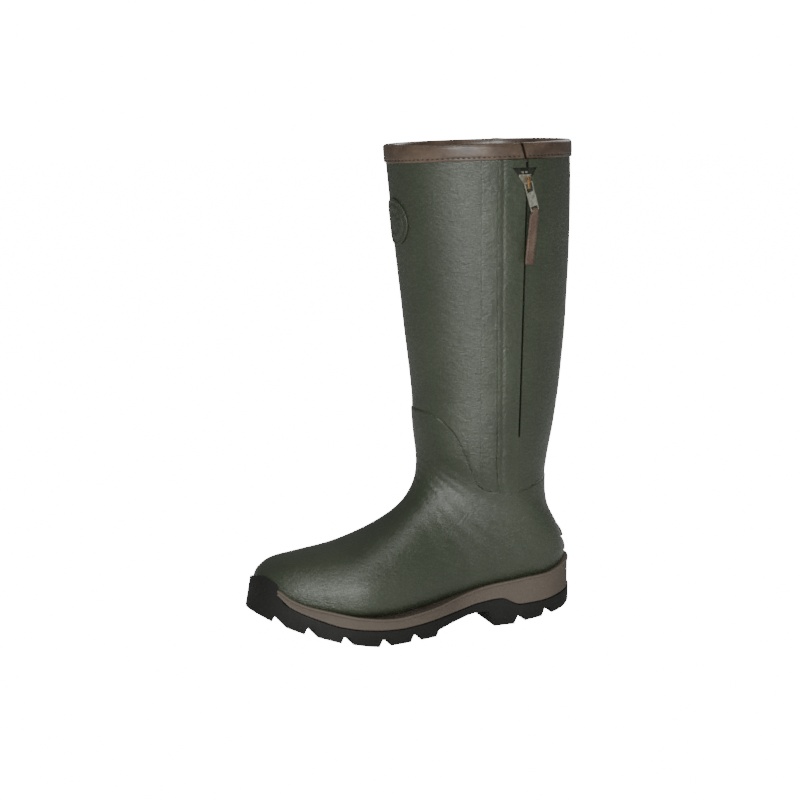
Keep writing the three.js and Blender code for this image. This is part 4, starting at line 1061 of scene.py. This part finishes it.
def onStrap(u, v):
    y, z, normal = strapMiddle(v)
    narrow = 1 if y < -5 else 0.62 + 0.38 * max(0, min(1, (-y - 3) / 2))
    half, thick = strap["width"] / 2 * narrow, strap["ply"] / 2
    corner = 0.3
    ring = [(-half, -thick + corner), (-half + corner, -thick), (0, -thick), (half - corner, -thick),
            (half, -thick + corner), (half, thick - corner), (half - corner, thick), (0, thick),
            (-half + corner, thick), (-half, thick - corner), (-half, -thick + corner)]
    x, off = between(ring, u)
    worked = max(0, 1 - abs(x) / 1.9) * (1 if y < -10 and y > -strap["length"] + 6 else 0)
    off -= math.copysign(0.22 * worked * (0.5 + 0.5 * math.cos(y * 2.4 + x * 1.6)), off)
    return onStrapPlace(x, y + normal[0] * off, z + normal[1] * off)


strapMesh = layGrid(40, 220, onStrap)
bmesh.ops.holes_fill(strapMesh, edges=[e for e in strapMesh.edges if e.is_boundary], sides=40)
bmesh.ops.recalc_face_normals(strapMesh, faces=strapMesh.faces)
makePiece("strap_leather", strapMesh, finishes["strap"], "strap", ("leather_pull",), sharp=60)
strapStitches = bmesh.new()
for face in (-1, 1):
    for x in (-strap["width"] / 2 + strap["stitchIn"], strap["width"] / 2 - strap["stitchIn"]):
        height = face * (strap["ply"] + 0.05)
        path = [(onStrapPlace(x, -7 - k * 0.1, height), strapOut * face) for k in range(375)]
        stitchRow(strapStitches, path, 1.8, 1.0, 0.5)
makePiece("strap_stitching", strapStitches, finishes["darkThread"], "strap", merge=0)
print("strap ready")

# floor, lights and camera
studio = {
    "floor": (236, 236, 234),
    "camera": Vector((1365.087, -520.255, 459.063)),
    "looking": Vector((-0.921948, 0.345639, -0.174775)),
    "lens": 76.041,
    "lights": [
        ("keyLight", (2.4, -1.15, 0.95), (0, 0, 0.24), 1.05, 38),
        ("footLight", (2.5, -0.55, 0.5), (0, 0.0, 0.06), 0.6, 15),
        ("rimLight", (-1.6, 1.9, 1.7), (0, 0, 0.25), 1.4, 14),
        ("topLight", (1.0, -0.5, 2.6), (0, -0.03, 0.1), 0.9, 16),
    ],
    "sky": 0.15,
    "paleFloor": 16,
    "paleSky": 18,
}
floorMesh = bmesh.new()
bmesh.ops.create_grid(floorMesh, x_segments=1, y_segments=1, size=12)
floorData = bpy.data.meshes.new("studio_floor")
floorMesh.to_mesh(floorData)
floorMesh.free()
floorFinish, floorShader = startFinish("pale_floor")[:2]
floorShader.inputs["Base Color"].default_value = srgb(*studio["floor"])
floorShader.inputs["Roughness"].default_value = 0.9
floorShader.inputs["Emission Color"].default_value = (1, 1, 1, 1)
seen = addNode(floorFinish, "ShaderNodeLightPath")
feed(floorFinish, floorShader, "Emission Strength",
     spreadOver(floorFinish, seen, "Is Camera Ray", 0, studio["paleFloor"]), "Result")
floorData.materials.append(floorFinish)
floorPiece = bpy.data.objects.new("studio_floor", floorData)
bpy.context.scene.collection.objects.link(floorPiece)

for name, place, target, size, power in studio["lights"]:
    light = bpy.data.lights.new(name, "AREA")
    light.size = size
    light.energy = power
    lamp = bpy.data.objects.new(name, light)
    lamp.location = place
    lamp.rotation_mode = "QUATERNION"
    lamp.rotation_quaternion = (Vector(target) - Vector(place)).to_track_quat("-Z", "Y")
    bpy.context.scene.collection.objects.link(lamp)
world = bpy.data.worlds.new("studio_sky")
world.use_nodes = True
world.node_tree.nodes["Background"].inputs["Color"].default_value = (1, 1, 1, 1)
skySeen = addNode(world, "ShaderNodeLightPath")
feed(world, world.node_tree.nodes["Background"], "Strength",
     spreadOver(world, skySeen, "Is Camera Ray", studio["sky"], studio["paleSky"]), "Result")
bpy.context.scene.world = world

lens = bpy.data.cameras.new("studio_camera")
lens.lens = studio["lens"]
lens.sensor_width = 36
camera = bpy.data.objects.new("studio_camera", lens)
camera.location = toFrame(studio["camera"])
camera.rotation_mode = "QUATERNION"
camera.rotation_quaternion = studio["looking"].to_track_quat("-Z", "Y")
bpy.context.scene.collection.objects.link(camera)
bpy.context.scene.camera = camera
print("studio ready")
